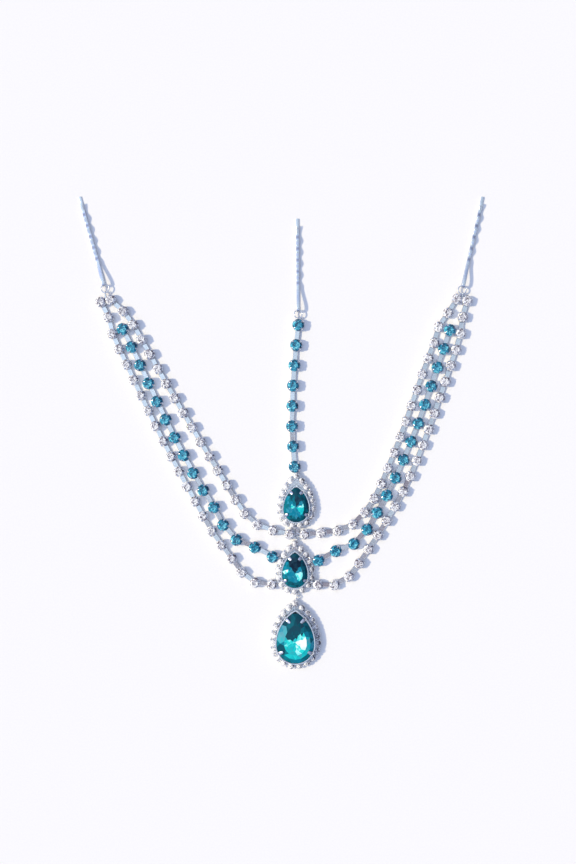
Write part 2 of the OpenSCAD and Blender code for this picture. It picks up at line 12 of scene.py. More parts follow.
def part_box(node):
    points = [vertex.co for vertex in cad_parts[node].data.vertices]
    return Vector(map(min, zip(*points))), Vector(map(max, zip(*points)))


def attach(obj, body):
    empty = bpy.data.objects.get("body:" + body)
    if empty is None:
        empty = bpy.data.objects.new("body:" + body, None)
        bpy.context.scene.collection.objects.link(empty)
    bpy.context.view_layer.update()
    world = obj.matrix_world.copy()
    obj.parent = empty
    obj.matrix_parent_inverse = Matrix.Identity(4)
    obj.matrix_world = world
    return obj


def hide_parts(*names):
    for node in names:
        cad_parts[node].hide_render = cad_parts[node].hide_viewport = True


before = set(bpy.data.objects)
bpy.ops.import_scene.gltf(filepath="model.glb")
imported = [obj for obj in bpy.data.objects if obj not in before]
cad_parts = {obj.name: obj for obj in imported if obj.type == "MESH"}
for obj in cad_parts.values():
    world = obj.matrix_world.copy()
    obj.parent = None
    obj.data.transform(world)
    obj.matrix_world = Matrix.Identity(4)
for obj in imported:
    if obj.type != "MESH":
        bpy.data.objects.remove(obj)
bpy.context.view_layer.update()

# Hair chain: cut stones in silver-coloured cups, linked into seven strings between three bobby
# pins and three pear-shaped pendants. Lengths are in millimetres until a mesh is made, in metres.
# A Place is a flat place or direction, a Point has its height too, and a Pair is a place in a
# section or profile.

MM = 0.001
BODY = "root"
SIDES = ("left", "right")
LOG = logging.getLogger("hair_chain")

Material, Mesh, Node = bpy.types.Material, bpy.types.Mesh, bpy.types.Node
Socket, Tree = bpy.types.NodeSocket, bpy.types.NodeTree
Place = np.ndarray
Pair, Point = tuple[float, float], tuple[float, float, float]


class Slot(Enum):
    """The record's material slots."""

    PIN = "pin_steel"
    RING = "ring_wire"
    SOLDERED = "soldered_cups"
    CLEAR = "clear_stone_chain"
    TEAL = "teal_stone_chain"
    HALO = "halo_setting"
    PEAR = "teal_pear_stone"


def linear(colour: str) -> tuple[float, float, float, float]:
    """Turns an sRGB colour into linear light.

    Args:
        colour: the colour as #rrggbb.

    Returns:
        Red, green, blue and a full alpha, each from 0 to 1.
    """
    shares = [int(colour[i:i + 2], 16) / 255 for i in (1, 3, 5)]
    light = [c / 12.92 if c <= 0.04045 else ((c + 0.055) / 1.055) ** 2.4 for c in shares]
    return light[0], light[1], light[2], 1.0


def unit(angle: float) -> Place:
    """Gives the flat direction at an angle in radians."""
    return np.array([math.cos(angle), math.sin(angle)])


def way(start: Place | Pair, end: Place | Pair) -> float:
    """Gives the angle in radians from one place to another."""
    return math.atan2(end[1] - start[1], end[0] - start[0])


def long_way(points: np.ndarray) -> Place:
    """Gives the flat direction in which points round zero reach furthest."""
    return np.linalg.eigh(points.T @ points)[1][:, 1]


def circle(radius: float, z: float, count: int, shift: float = 0.0) -> list[Point]:
    """Gives points round the Z axis, all moved on by a share of a step."""
    return [(*(unit(math.tau * (i + shift) / count) * radius), z) for i in range(count)]


def box_middle(node: str) -> np.ndarray:
    """Gives the middle of a CAD node's box, in millimetres."""
    low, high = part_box(node)
    return np.array((low + high) / 2 / MM)


def plug(tree: Tree, node: Node, inputs: dict[str | int, object]) -> None:
    """Sets a node's inputs.

    Args:
        tree: the node's tree.
        node: the node.
        inputs: by the input's name or number, a constant or the output to link from.
    """
    for key, value in inputs.items():
        if isinstance(value, Socket):
            tree.links.new(value, node.inputs[key])
        else:
            node.inputs[key].default_value = value


def add_node(tree: Tree, kind: str, inputs: dict[str | int, object] | None = None,
             **settings: object) -> Node:
    """Adds a node with its settings, constants and links.

    Args:
        tree: the tree that gets the node.
        kind: the node's type.
        inputs: what its inputs get, as plug takes it.
        settings: properties of the node, set before its inputs.

    Returns:
        The new node.
    """
    node = tree.nodes.new(kind)
    for key, value in settings.items():
        setattr(node, key, value)
    plug(tree, node, inputs or {})
    return node


def fill_ramp(ramp: bpy.types.ColorRamp, stops: tuple[tuple[float, str], ...]) -> None:
    """Gives a colour ramp its stops.

    Args:
        ramp: the ramp to fill.
        stops: place and sRGB colour of each stop, in order.
    """
    while len(ramp.elements) < len(stops):
        ramp.elements.new(1.0)
    for element, (place, colour) in zip(ramp.elements, stops):
        element.position = place
        element.color = linear(colour)


# Finishes


def start_material(name: str) -> tuple[Material, Tree, Node, Socket]:
    """Starts a material.

    Args:
        name: the material's name.

    Returns:
        The material, its node tree, its shader and the Object coordinates.
    """
    made = bpy.data.materials.new(name)
    made.use_nodes = True
    where = add_node(made.node_tree, "ShaderNodeTexCoord").outputs["Object"]
    return made, made.node_tree, made.node_tree.nodes["Principled BSDF"], where


@dataclass(frozen=True)
class RhodiumPlate:
    """Rhodium-plated brass, stamped and tumbled: a cool white mirror with soft dents."""

    name: str = "rhodium_plated_brass"
    bright: str = "#eef1f6"
    dent_shade: str = "#dcdfe6"
    roughness: Pair = (0.09, 0.24)
    grain_mm: float = 0.12
    dent_mm: float = 0.6
    dent_deep_mm: float = 0.05
    dent_strength: float = 0.25

    def material(self) -> Material:
        """Builds the plate's material.

        Returns:
            The material: dents bend the mirror and are painted darker in their hollows as shade,
                and a finer grain dulls it.
        """
        made, tree, shader, where = start_material(self.name)
        dents = add_node(tree, "ShaderNodeTexNoise", {
            "Vector": where, "Scale": 1 / (self.dent_mm * MM), "Detail": 2.0}).outputs["Fac"]
        grain = add_node(tree, "ShaderNodeTexNoise", {
            "Vector": where, "Scale": 1 / (self.grain_mm * MM), "Detail": 1.0}).outputs["Fac"]
        # Painted shade: the plate is darker in the hollows of its dents
        tint = add_node(tree, "ShaderNodeValToRGB", {"Fac": dents})
        fill_ramp(tint.color_ramp, ((0.35, self.dent_shade), (0.6, self.bright)))
        rough = add_node(tree, "ShaderNodeMapRange", {
            "Value": grain, "To Min": self.roughness[0], "To Max": self.roughness[1]})
        bump = add_node(tree, "ShaderNodeBump", {
            "Height": dents, "Strength": self.dent_strength, "Distance": self.dent_deep_mm * MM})
        plug(tree, shader, {
            "Metallic": 1.0, "Base Color": tint.outputs["Color"],
            "Roughness": rough.outputs["Result"], "Normal": bump.outputs["Normal"]})
        return made


@dataclass(frozen=True)
class SpringSteel:
    """Nickel-plated spring steel, rolled to strip: a soft cool shine, dulled in fine specks."""

    name: str = "nickel_plated_spring_steel"
    bright: str = "#f2f6fb"
    dull: str = "#c6ccd8"
    roughness: Pair = (0.16, 0.28)
    speck_mm: float = 0.16

    def material(self) -> Material:
        """Builds the strip's material.

        Returns:
            The material: one fine pattern both tints and roughens the steel.
        """
        made, tree, shader, where = start_material(self.name)
        specks = add_node(tree, "ShaderNodeTexNoise", {
            "Vector": where, "Scale": 1 / (self.speck_mm * MM), "Detail": 2.0}).outputs["Fac"]
        tint = add_node(tree, "ShaderNodeValToRGB", {"Fac": specks})
        fill_ramp(tint.color_ramp, ((0.3, self.dull), (0.6, self.bright)))
        rough = add_node(tree, "ShaderNodeMapRange", {
            "Value": specks, "To Min": self.roughness[0], "To Max": self.roughness[1]})
        plug(tree, shader, {
            "Metallic": 1.0, "Base Color": tint.outputs["Color"],
            "Roughness": rough.outputs["Result"]})
        return made


@dataclass(frozen=True)
class CutGlass:
    """Machine-cut glass, foiled behind: each facet is painted with a tone of its own light and
    shade.
    """

    name: str
    tones: tuple[tuple[float, str], ...]
    roughness: float = 0.05
    ior: float = 1.55
    gloss: float = 0.5
    cloud_mm: float = 0.8
    cloud: float = 0.12

    def material(self) -> Material:
        """Builds the glass's material.

        Returns:
            The material: it reads each facet's painted light and shade from the mesh, and clouds it
                a little.
        """
        made, tree, shader, where = start_material(self.name)
        cloud = add_node(tree, "ShaderNodeTexNoise", {
            "Vector": where, "Scale": 1 / (self.cloud_mm * MM), "Detail": 1.0})
        drift = add_node(tree, "ShaderNodeMapRange", {
            "Value": cloud.outputs["Fac"], "From Min": 0.3, "From Max": 0.7,
            "To Min": -self.cloud, "To Max": self.cloud})
        # Each facet's painted light and shade: its painted highlights and painted dark sides
        tone = add_node(tree, "ShaderNodeAttribute", attribute_name="tone",
                        attribute_type="GEOMETRY")
        mixed = add_node(tree, "ShaderNodeMath", {
            0: tone.outputs["Fac"], 1: drift.outputs["Result"]}, operation="ADD")
        ramp = add_node(tree, "ShaderNodeValToRGB", {"Fac": mixed.outputs["Value"]})
        fill_ramp(ramp.color_ramp, self.tones)
        plug(tree, shader, {
            "Roughness": self.roughness, "IOR": self.ior, "Specular IOR Level": self.gloss,
            "Base Color": ramp.outputs["Color"]})
        return made


@dataclass(frozen=True)
class PaperSweep:
    """Matt white paper: pale, with a faint cool cast and a fibre too fine to see."""

    name: str = "matt_white_paper"
    pale: str = "#f5f4f8"
    faint: str = "#f3f2f7"
    fibre_mm: float = 0.8

    def material(self) -> Material:
        """Builds the floor's material.

        Returns:
            The material.
        """
        made, tree, shader, where = start_material(self.name)
        fibre = add_node(tree, "ShaderNodeTexNoise", {
            "Vector": where, "Scale": 1 / (self.fibre_mm * MM)})
        tint = add_node(tree, "ShaderNodeValToRGB", {"Fac": fibre.outputs["Fac"]})
        fill_ramp(tint.color_ramp, ((0.4, self.faint), (0.6, self.pale)))
        plug(tree, shader, {
            "Roughness": 0.95, "Specular IOR Level": 0.1, "Base Color": tint.outputs["Color"]})
        return made


Finish = RhodiumPlate | SpringSteel | CutGlass | PaperSweep


class Workshop:
    """Makes each finish's material once and hands it out."""

    def __init__(self) -> None:
        """Starts with no material made."""
        self._made: dict[str, Material] = {}

    def material(self, finish: Finish) -> Material:
        """Gives a finish's material.

        Args:
            finish: the finish to look up.

        Returns:
            The material, made now if it is the first time.
        """
        if finish.name not in self._made:
            self._made[finish.name] = finish.material()
        return self._made[finish.name]


SHOP = Workshop()
PLATE = RhodiumPlate()
STEEL = SpringSteel()
# Each glass's colours run from its painted shade up to its painted highlight
TEAL_GLASS = CutGlass("teal_cut_glass", (
    (0.0, "#163b56"), (0.25, "#225c7d"), (0.5, "#2780a5"), (0.75, "#3aa3c6"), (1.0, "#86deef")))
CLEAR_GLASS = CutGlass("clear_cut_glass", (
    (0.0, "#524c58"), (0.2, "#8a8494"), (0.4, "#c2c4d4"), (0.7, "#eef1fa"), (1.0, "#ffffff")))
HALO_GLASS = CutGlass("clear_cut_glass_small", (
    (0.0, "#45444e"), (0.25, "#7e7c88"), (0.45, "#bdbcc6"), (0.7, "#e9eaf2"), (1.0, "#ffffff")))
# Navy, slate, dark teal, teal, blue, steel, sea green, cyan, pale cyan and white
PEAR_GLASS = CutGlass("deep_teal_cut_glass", (
    (0.0, "#14293d"), (0.12, "#1f4459"), (0.25, "#0d4a5c"), (0.38, "#117083"), (0.5, "#1285a6"),
    (0.62, "#5a9fb4"), (0.74, "#14b6c2"), (0.85, "#28dcdc"), (0.93, "#98f8fb"), (1.0, "#f8ffff")),
    cloud_mm=2.5, cloud=0.03, gloss=0.1)


# Shapes

EDGE_SHARE = 0.28  # how much of its thinner side a bar's rounded edge takes
# Degrees past which an edge is sharp, by the kind of shape; 0 leaves every face flat
FLAT, BAR_SHARP, TURNED_SHARP, WIRE_SHARP, CLAW_SHARP, BEAD_SHARP = 0, 35, 40, 50, 60, 80
# Sections of a claw of width and thickness 1, as across and up
FLAT_CLAW = ((0.5, 0), (0.3125, 0.5), (-0.3125, 0.5), (-0.5, 0), (-0.3125, -0.5), (0.3125, -0.5))
ROUND_CLAW = tuple(unit(math.tau * k / 10) / 2 for k in range(10))


def put(name: str, data: bpy.types.ID) -> bpy.types.Object:
    """Makes an object in the scene.

    Args:
        name: the object's name.
        data: its mesh, lamp or camera.

    Returns:
        The object.
    """
    made = bpy.data.objects.new(name, data)
    bpy.context.scene.collection.objects.link(made)
    return made


def take_away(made: bpy.types.Object) -> None:
    """Removes an object and its mesh.

    Args:
        made: the object.
    """
    mesh = made.data
    bpy.data.objects.remove(made)
    bpy.data.meshes.remove(mesh)


def settled(holder: bpy.types.Object) -> Mesh:
    """Keeps what an object's modifiers make as a plain mesh, and removes the object.

    Args:
        holder: the object.

    Returns:
        The mesh.
    """
    ready = bpy.context.evaluated_depsgraph_get()
    mesh = bpy.data.meshes.new_from_object(
        holder.evaluated_get(ready), preserve_all_data_layers=True, depsgraph=ready)
    holder.modifiers.clear()
    take_away(holder)
    return mesh


def finished(mesh: Mesh, sharp: float) -> Mesh:
    """Turns faces outwards and marks the sharp edges.

    Args:
        mesh: the mesh to finish in place.
        sharp: the angle in degrees past which an edge is sharp; 0 leaves every face flat.

    Returns:
        The same mesh.
    """
    shape = bmesh.new()
    shape.from_mesh(mesh)
    bmesh.ops.recalc_face_normals(shape, faces=shape.faces)
    for face in shape.faces:
        face.smooth = sharp > 0
    for edge in shape.edges:
        edge.smooth = edge.calc_face_angle(0.0) < math.radians(sharp)
    shape.to_mesh(mesh)
    shape.free()
    mesh.update()
    return mesh


def joined_mesh(name: str, parts: list[Mesh]) -> Mesh:
    """Puts meshes together as one.

    Args:
        name: the new mesh's name.
        parts: the meshes, which are used up.

    Returns:
        The new mesh.
    """
    shape = bmesh.new()
    for part in parts:
        shape.from_mesh(part)
    mesh = bpy.data.meshes.new(name)
    shape.to_mesh(mesh)
    shape.free()
    for part in parts:
        bpy.data.meshes.remove(part)
    return mesh


class Solid:
    """Points and faces of a shape, in millimetres, that grows shell by shell."""

    def __init__(self) -> None:
        """Starts empty."""
        self.points: list[Point] = []
        self.faces: list[tuple[int, ...]] = []

    def loft(self, rings: list[list[Point]]) -> None:
        """Adds a closed shell through rings of points, with a flat end at both sides.

        Args:
            rings: the rings, each with as many points as the first; a ring of one point is a tip.
        """
        starts = []
        for ring in rings:
            starts.append(len(self.points))
            self.points.extend(tuple(float(c) for c in p) for p in ring)
        count = max(len(ring) for ring in rings)
        for a, b in zip(range(len(rings)), range(1, len(rings))):
            for i in range(count):
                j = (i + 1) % count
                if len(rings[a]) == 1:
                    self.faces.append((starts[a], starts[b] + j, starts[b] + i))
                elif len(rings[b]) == 1:
                    self.faces.append((starts[a] + i, starts[a] + j, starts[b]))
                else:
                    self.faces.append((starts[a] + i, starts[a] + j, starts[b] + j, starts[b] + i))
        for end in (0, -1):
            if len(rings[end]) > 1:
                self.faces.append(tuple(starts[end] + i for i in range(count)))

    def turn(self, profile: list[Pair], count: int) -> None:
        """Adds a shell turned round the Z axis.

        Args:
            profile: distance from the axis and height of each ring, from axis to axis.
            count: points of each ring.
        """
        self.loft([circle(out, z, count) if out else [(0, 0, z)] for out, z in profile])

    def bar(self, start: Place, end: Place, low: float, high: float, width: float) -> None:
        """Adds a bar with rounded long edges between two flat places.

        Args:
            start: place of one end.
            end: place of the other end.
            low: height of its underside.
            high: height of its top.
            width: its width.
        """
        side = unit(way(start, end) + math.pi / 2)
        half, cut = width / 2, EDGE_SHARE * min(width, high - low)
        outline = [(-half, low + cut), (-half + cut, low), (half - cut, low), (half, low + cut),
                   (half, high - cut), (half - cut, high), (-half + cut, high), (-half, high - cut)]
        self.loft([[(*(place + side * out), z) for out, z in outline] for place in (start, end)])

    def claw(self, path: list[Pair], sizes: list[Pair], place: Place, angle: float,
             section: tuple[Pair, ...]) -> None:
        """Adds a claw that rises and bends along a path.

        Args:
            path: how far out and how high its middle runs.
            sizes: width and thickness at each step of the path.
            place: flat place that the way out starts from.
            angle: the way out, in radians.
            section: its section, FLAT_CLAW or ROUND_CLAW.
        """
        rings = []
        for i, ((out, z), (wide, thick)) in enumerate(zip(path, sizes)):
            rise = way(path[max(i - 1, 0)], path[min(i + 1, len(path) - 1)])
            rings.append([
                (*(place + unit(angle) * (out - up * thick * math.sin(rise))
                   + unit(angle + math.pi / 2) * across * wide), z + up * thick * math.cos(rise))
                for across, up in section])
        self.loft(rings)

    def mesh(self, name: str, sharp: float = BAR_SHARP) -> Mesh:
        """Makes the mesh, with faces outwards and edges sharp past an angle.

        Args:
            name: the mesh's name.
            sharp: the angle in degrees; 0 leaves every face flat.

        Returns:
            The mesh, in metres.
        """
        mesh = bpy.data.meshes.new(name)
        mesh.from_pydata([[c * MM for c in p] for p in self.points], [], self.faces)
        return finished(mesh, sharp)


@dataclass(frozen=True)
class Pear:
    """A pear outline: a circle below, and two arcs that meet in a point above it."""

    radius: float
    point: float

    @property
    def side_r(self) -> float:
        """Radius of the two side arcs."""
        return (self.point ** 2 + self.radius ** 2) / (2 * self.radius)

    @property
    def side_l(self) -> float:
        """Length of one side arc."""
        return self.side_r * math.asin(self.point / self.side_r)

    @property
    def length(self) -> float:
        """Length of the whole outline."""
        return 2 * self.side_l + math.pi * self.radius

    def way(self, s: float) -> float:
        """Gives the way outwards at a spot of the outline.

        Args:
            s: distance from the point to the spot, down the right side.

        Returns:
            The angle, in radians.
        """
        if s > self.length / 2:
            return math.pi - self.way(self.length - s)
        return (self.side_l - s) / (self.side_r if s < self.side_l else self.radius)

    def at(self, s: float) -> Place:
        """Gives the place of a spot of the outline.

        Args:
            s: distance from the point to the spot, down the right side.

        Returns:
            The place, round the middle of the circle.
        """
        if s > self.length / 2:
            return self.at(self.length - s) * (-1, 1)
        angle = self.way(s)
        if s < self.side_l:
            return np.array([self.radius - self.side_r, 0]) + self.side_r * unit(angle)
        return self.radius * unit(angle)

    def grown(self, out: float) -> "Pear":
        """Gives the outline that runs everywhere at the same distance outside this one."""
        arc = self.side_r + out
        return Pear(self.radius + out, math.sqrt(arc ** 2 - (self.side_r - self.radius) ** 2))

    def ring(self, count: int, z: float, shift: float = 0.0) -> list[Point]:
        """Gives points at equal steps clockwise from the point, moved on by a share of a step."""
        return [(*self.at(self.length * ((i + shift) % count) / count), z) for i in range(count)]


# Growing by nodes


def new_tree(name: str, sizes: dict[str, str]) -> tuple[Tree, dict[str, Socket]]:
    """Starts a Geometry Nodes tree with named inputs.

    Args:
        name: the tree's name.
        sizes: kind of each input's socket, by the input's name.

    Returns:
        The tree, and the outputs of its input node by name.
    """
    tree = bpy.data.node_groups.new(name, "GeometryNodeTree")
    for key, kind in {"Geometry": "Geometry", **sizes, "Material": "Material"}.items():
        tree.interface.new_socket(key, in_out="INPUT", socket_type="NodeSocket" + kind)
    tree.interface.new_socket("Geometry", in_out="OUTPUT", socket_type="NodeSocketGeometry")
    return tree, {s.name: s for s in tree.nodes.new("NodeGroupInput").outputs if s.name}


def end_tree(tree: Tree, geometry: Socket, material: Socket) -> Tree:
    """Ends a tree in Realize Instances and Set Material.

    Args:
        tree: the tree to end.
        geometry: what the tree has made.
        material: the socket that brings the material.

    Returns:
        The same tree.
    """
    real = add_node(tree, "GeometryNodeRealizeInstances", {"Geometry": geometry})
    dressed = add_node(tree, "GeometryNodeSetMaterial", {
        "Geometry": real.outputs["Geometry"], "Material": material})
    add_node(tree, "NodeGroupOutput", {"Geometry": dressed.outputs["Geometry"]})
    return tree


def row_tree() -> Tree:
    """Builds the tree that sets one shape on every point.

    Returns:
        The tree; each shape is turned and stretched as its point says, and leans a little.
    """
    tree, sizes = new_tree("row_of_shapes", {"Shape": "Object", "Lean": "Float", "Seed": "Int"})
    turn, long = (add_node(tree, "GeometryNodeInputNamedAttribute", {"Name": key})
                  for key in ("turn", "stretch"))
    back = add_node(tree, "ShaderNodeMath", {0: sizes["Lean"], 1: -1.0}, operation="MULTIPLY")
    index = add_node(tree, "GeometryNodeInputIndex")
    second = add_node(tree, "ShaderNodeMath", {0: sizes["Seed"], 1: 1.0}, operation="ADD")
    leans = [add_node(tree, "FunctionNodeRandomValue", {
        "Min": back.outputs["Value"], "Max": sizes["Lean"], "ID": index.outputs["Index"],
        "Seed": seed}).outputs["Value"] for seed in (sizes["Seed"], second.outputs["Value"])]
    angles = add_node(tree, "ShaderNodeCombineXYZ", {
        "X": leans[0], "Y": leans[1], "Z": turn.outputs["Attribute"]})
    turned = add_node(tree, "FunctionNodeEulerToRotation", {"Euler": angles.outputs["Vector"]})
    scale = add_node(tree, "ShaderNodeCombineXYZ", {
        "X": long.outputs["Attribute"], "Y": 1.0, "Z": 1.0})
    shape = add_node(tree, "GeometryNodeObjectInfo", {"Object": sizes["Shape"]})
    row = add_node(tree, "GeometryNodeInstanceOnPoints", {
        "Points": sizes["Geometry"], "Instance": shape.outputs["Geometry"],
        "Rotation": turned.outputs["Rotation"], "Scale": scale.outputs["Vector"]})
    return end_tree(tree, row.outputs["Instances"], sizes["Material"])


def ring_tree() -> Tree:
    """Builds the tree of a wire ring with a cut in it.

    Returns:
        The tree; its ring lies flat round the middle.
    """
    tree, sizes = new_tree("wire_ring", {
        "Radius": "Float", "Wire": "Float", "Cut": "Float", "Steps": "Int", "Wire sides": "Int"})
    sweep = add_node(tree, "ShaderNodeMath", {0: math.tau, 1: sizes["Cut"]}, operation="SUBTRACT")
    path = add_node(tree, "GeometryNodeCurveArc", {
        "Resolution": sizes["Steps"], "Radius": sizes["Radius"],
        "Sweep Angle": sweep.outputs["Value"]})
    half = add_node(tree, "ShaderNodeMath", {0: sizes["Wire"], 1: 0.5}, operation="MULTIPLY")
    wire = add_node(tree, "GeometryNodeCurvePrimitiveCircle", {
        "Resolution": sizes["Wire sides"], "Radius": half.outputs["Value"]})
    swept = add_node(tree, "GeometryNodeCurveToMesh", {
        "Curve": path.outputs["Curve"], "Profile Curve": wire.outputs["Curve"], "Fill Caps": True})
    return end_tree(tree, swept.outputs["Mesh"], sizes["Material"])


def strip_tree() -> Tree:
    """Builds the tree that sweeps a flat strip along a line of edges.

    Returns:
        The tree; its strip has rounded edges.
    """
    tree, sizes = new_tree("rolled_strip", {
        "Strip width": "Float", "Strip thickness": "Float", "Edge radius": "Float"})
    path = add_node(tree, "GeometryNodeMeshToCurve", {"Mesh": sizes["Geometry"]})
    section = add_node(tree, "GeometryNodeCurvePrimitiveQuadrilateral", {
        "Width": sizes["Strip width"], "Height": sizes["Strip thickness"]})
    rounded = add_node(tree, "GeometryNodeFilletCurve", {
        "Curve": section.outputs["Curve"], "Radius": sizes["Edge radius"], "Count": 3},
        mode="POLY")
    swept = add_node(tree, "GeometryNodeCurveToMesh", {
        "Curve": path.outputs["Curve"], "Profile Curve": rounded.outputs["Curve"],
        "Fill Caps": True})
    return end_tree(tree, swept.outputs["Mesh"], sizes["Material"])


ROW_TREE, RING_TREE, STRIP_TREE = row_tree(), ring_tree(), strip_tree()


def grow(name: str, source: Mesh, tree: Tree, finish: Finish, inputs: dict[str, object]) -> Mesh:
    """Runs a tree on a mesh and keeps the result as a plain mesh.

    Args:
        name: the new mesh's name.
        source: the points or edges that the tree starts from; it is used up.
        tree: the Geometry Nodes tree.
        finish: the finish that the tree sets.
        inputs: value of each other named input, in metres and radians.

    Returns:
        The new mesh.
    """
    values = {**inputs, "Material": SHOP.material(finish)}
    holder = put(name + "_source", source)
    modifier = holder.modifiers.new("grow", "NODES")
    modifier.node_group = tree
    for item in tree.interface.items_tree:
        if item.item_type == "SOCKET" and item.in_out == "INPUT" and item.name in values:
            modifier[item.identifier] = values[item.name]
    mesh = settled(holder)
    mesh.name = name
    return mesh


def marks(places: list[Place], height: float, **values: list[float]) -> Mesh:
    """Makes a mesh of loose points with values on them.

    Args:
        places: flat places of the points, in millimetres.
        height: their height, in millimetres.
        values: named values, one for each point.

    Returns:
        The mesh, in metres.
    """
    mesh = bpy.data.meshes.new("marks")
    mesh.from_pydata([(p[0] * MM, p[1] * MM, height * MM) for p in places], [], [])
    for key, numbers in values.items():
        layer = mesh.attributes.new(key, "FLOAT", "POINT")
        layer.data.foreach_set("value", [float(n) for n in numbers])
    return mesh


def row_of(name: str, shape: Mesh, places: list[Place], height: float, turns: list[float],
           finish: Finish, lean: float = 0.0, seed: int = 1,
           stretch: list[float] | None = None) -> Mesh:
    """Sets a shape on every place.

    Args:
        name: the new mesh's name.
        shape: the shape, round its own middle; it is used up.
        places: flat places in millimetres.
        height: height of the shape's zero, in millimetres.
        turns: angle of each shape, in radians.
        finish: the finish of all of them.
        lean: most that one leans at random, in degrees.
        seed: seed of that leaning.
        stretch: how much longer each shape is made along its own X; none if they are all alike.

    Returns:
        One mesh of them all.
    """
    holder = put(name + "_shape", shape)
    points = marks(places, height, turn=turns, stretch=stretch or [1.0] * len(places))
    mesh = grow(name, points, ROW_TREE, finish, {
        "Shape": holder, "Lean": math.radians(lean), "Seed": seed})
    take_away(holder)
    return mesh


def wire_ring(name: str, radius: float, wire: float, place: Matrix, cut: float = 0.0,
              steps: int = 40, sides: int = 10) -> Mesh:
    """Makes a wire ring and puts it in its place.

    Args:
        name: the mesh's name.
        radius: radius at the middle of the wire, in millimetres.
        wire: the wire's thickness, in millimetres.
        place: where the ring goes, in metres.
        cut: width of the cut between the wire's ends, in millimetres.
        steps: how many steps the wire takes round the ring.
        sides: how many sides the wire has.

    Returns:
        The mesh.
    """
    mesh = grow(name, marks([np.zeros(2)], 0), RING_TREE, PLATE, {
        "Radius": radius * MM, "Wire": wire * MM, "Cut": cut / radius, "Steps": steps,
        "Wire sides": sides})
    mesh.transform(place)
    return finished(mesh, WIRE_SHARP)


def dress(mesh: Mesh, name: str, node: str, finish: Finish = PLATE) -> None:
    """Makes a piece of the part from a mesh and reports it.

    Args:
        mesh: the finished mesh, in its place.
        name: the piece's name.
        node: the CAD node that it stands for.
        finish: its finish.
    """
    if not mesh.materials:
        mesh.materials.append(SHOP.material(finish))
    piece = put(name, mesh)
    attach(piece, BODY)
    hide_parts(node)
    LOG.info("%s: %d faces, %s", name, len(mesh.polygons), finish.name)


# Stones


def cut_faces(sides: int, rings: int) -> tuple[list[tuple[int, ...]], list[int]]:
    """Gives the facets of a cut stone: a fan, bands of triangles, a girdle and a pointed back.

    The points are the table's middle, the rings from the inside out, each turned half a step
    against the one before, the girdle's lower edge and the back's point.

    Args:
        sides: points of each ring.
        rings: how many rings there are out to the girdle.

    Returns:
        The facets, and the band of each one, counted from the middle.
    """
    faces: list[tuple[int, ...]] = [(0, 1 + i, 1 + (i + 1) % sides) for i in range(sides)]
    bands = [0] * sides
    for r in range(rings):
        a, b = 1 + r * sides, 1 + (r + 1) * sides
        for i in range(sides):
            j = (i + 1) % sides
            if r == rings - 1:
                faces += [(a + i, b + i, b + j, a + j), (b + i, b + sides, b + j)]
            elif r % 2:
                faces += [(a + i, b + j, a + j), (b + i, b + j, a + i)]
            else:
                faces += [(a + i, b + i, a + j), (b + i, b + j, a + j)]
            bands += [r + 1, r + 1]
    return faces, bands


@dataclass(frozen=True)
class Sparkle:
    """Painted light on a row of round stones: a level for each band, a painted bright side and a
    painted dark side.
    """

    levels: tuple[float, ...]
    scatter: float
    bright_way: float = -35.0
    bright: float = 0.2
    dark_way: float = 45.0
    dark: float = 0.2
    back: float = 0.2

    def paint(self, mesh: Mesh, bands: list[int], seed: int,
              lift: list[float] | None = None) -> None:
        """Paints each facet of a row of like stones with its tone of light and shade.

        Args:
            mesh: the stones, one after the other.
            bands: the bands of the facets of one stone, in order.
            seed: seed of the scatter.
            lift: how much lighter each whole stone is painted; none if they are all alike.
        """
        centres = np.zeros(len(mesh.polygons) * 3)
        mesh.polygons.foreach_get("center", centres)
        flat = centres.reshape(-1, len(bands), 3)[:, :, :2]
        out = flat - flat.mean(1, keepdims=True)
        angle = np.arctan2(out[:, :, 1], out[:, :, 0])
        # The bands inside the crown's two outer ones get the painted bright side, the others the
        # painted dark side
        inner = np.array(bands) < len(self.levels) - 2
        tone = np.array(self.levels + (self.back,))[np.minimum(bands, len(self.levels))]
        tone = tone + inner * self.bright * np.cos(angle - math.radians(self.bright_way))
        tone = tone - ~inner * self.dark * np.cos(angle - math.radians(self.dark_way))
        tone = tone + np.random.default_rng(seed).uniform(-self.scatter, self.scatter, angle.shape)
        tone = tone + np.array(lift or [0.0] * len(tone))[:, None]
        values = np.clip(tone, 0, 1).astype(np.float32).ravel()
        # Each facet's painted light and shade
        mesh.attributes.new("tone", "FLOAT", "FACE").data.foreach_set("value", values)


@dataclass(frozen=True)
class RoundCut:
    """A round stone with a faceted table and crown, its cup's rim at height 0."""

    diameter: float
    crown: float
    sides: int = 12
    shares: tuple[float, ...] = (0.2, 0.4, 0.6, 0.81, 1.0)
    girdle: float = 0.1
    slope: float = 0.58
    sink: float = 0.1
    depth: float = 1.0

    def shape(self) -> tuple[Mesh, list[int]]:
        """Cuts the stone.

        Returns:
            The mesh, and the band of each of its facets.
        """
        heights = {0: self.girdle, 1: self.girdle + (self.crown - self.girdle) * self.slope}
        last = len(self.shares) - 1
        solid = Solid()
        solid.points = [(0, 0, self.crown)]
        for r, share in enumerate((*self.shares, 1.0)):
            z = -self.sink if r > last else heights.get(last - r, self.crown)
            solid.points += circle(self.diameter / 2 * share, z, self.sides, min(r, last) % 2 / 2)
        solid.points.append((0, 0, -self.depth))
        solid.faces, bands = cut_faces(self.sides, len(self.shares))
        return solid.mesh("stone", FLAT), bands


# Cups and links


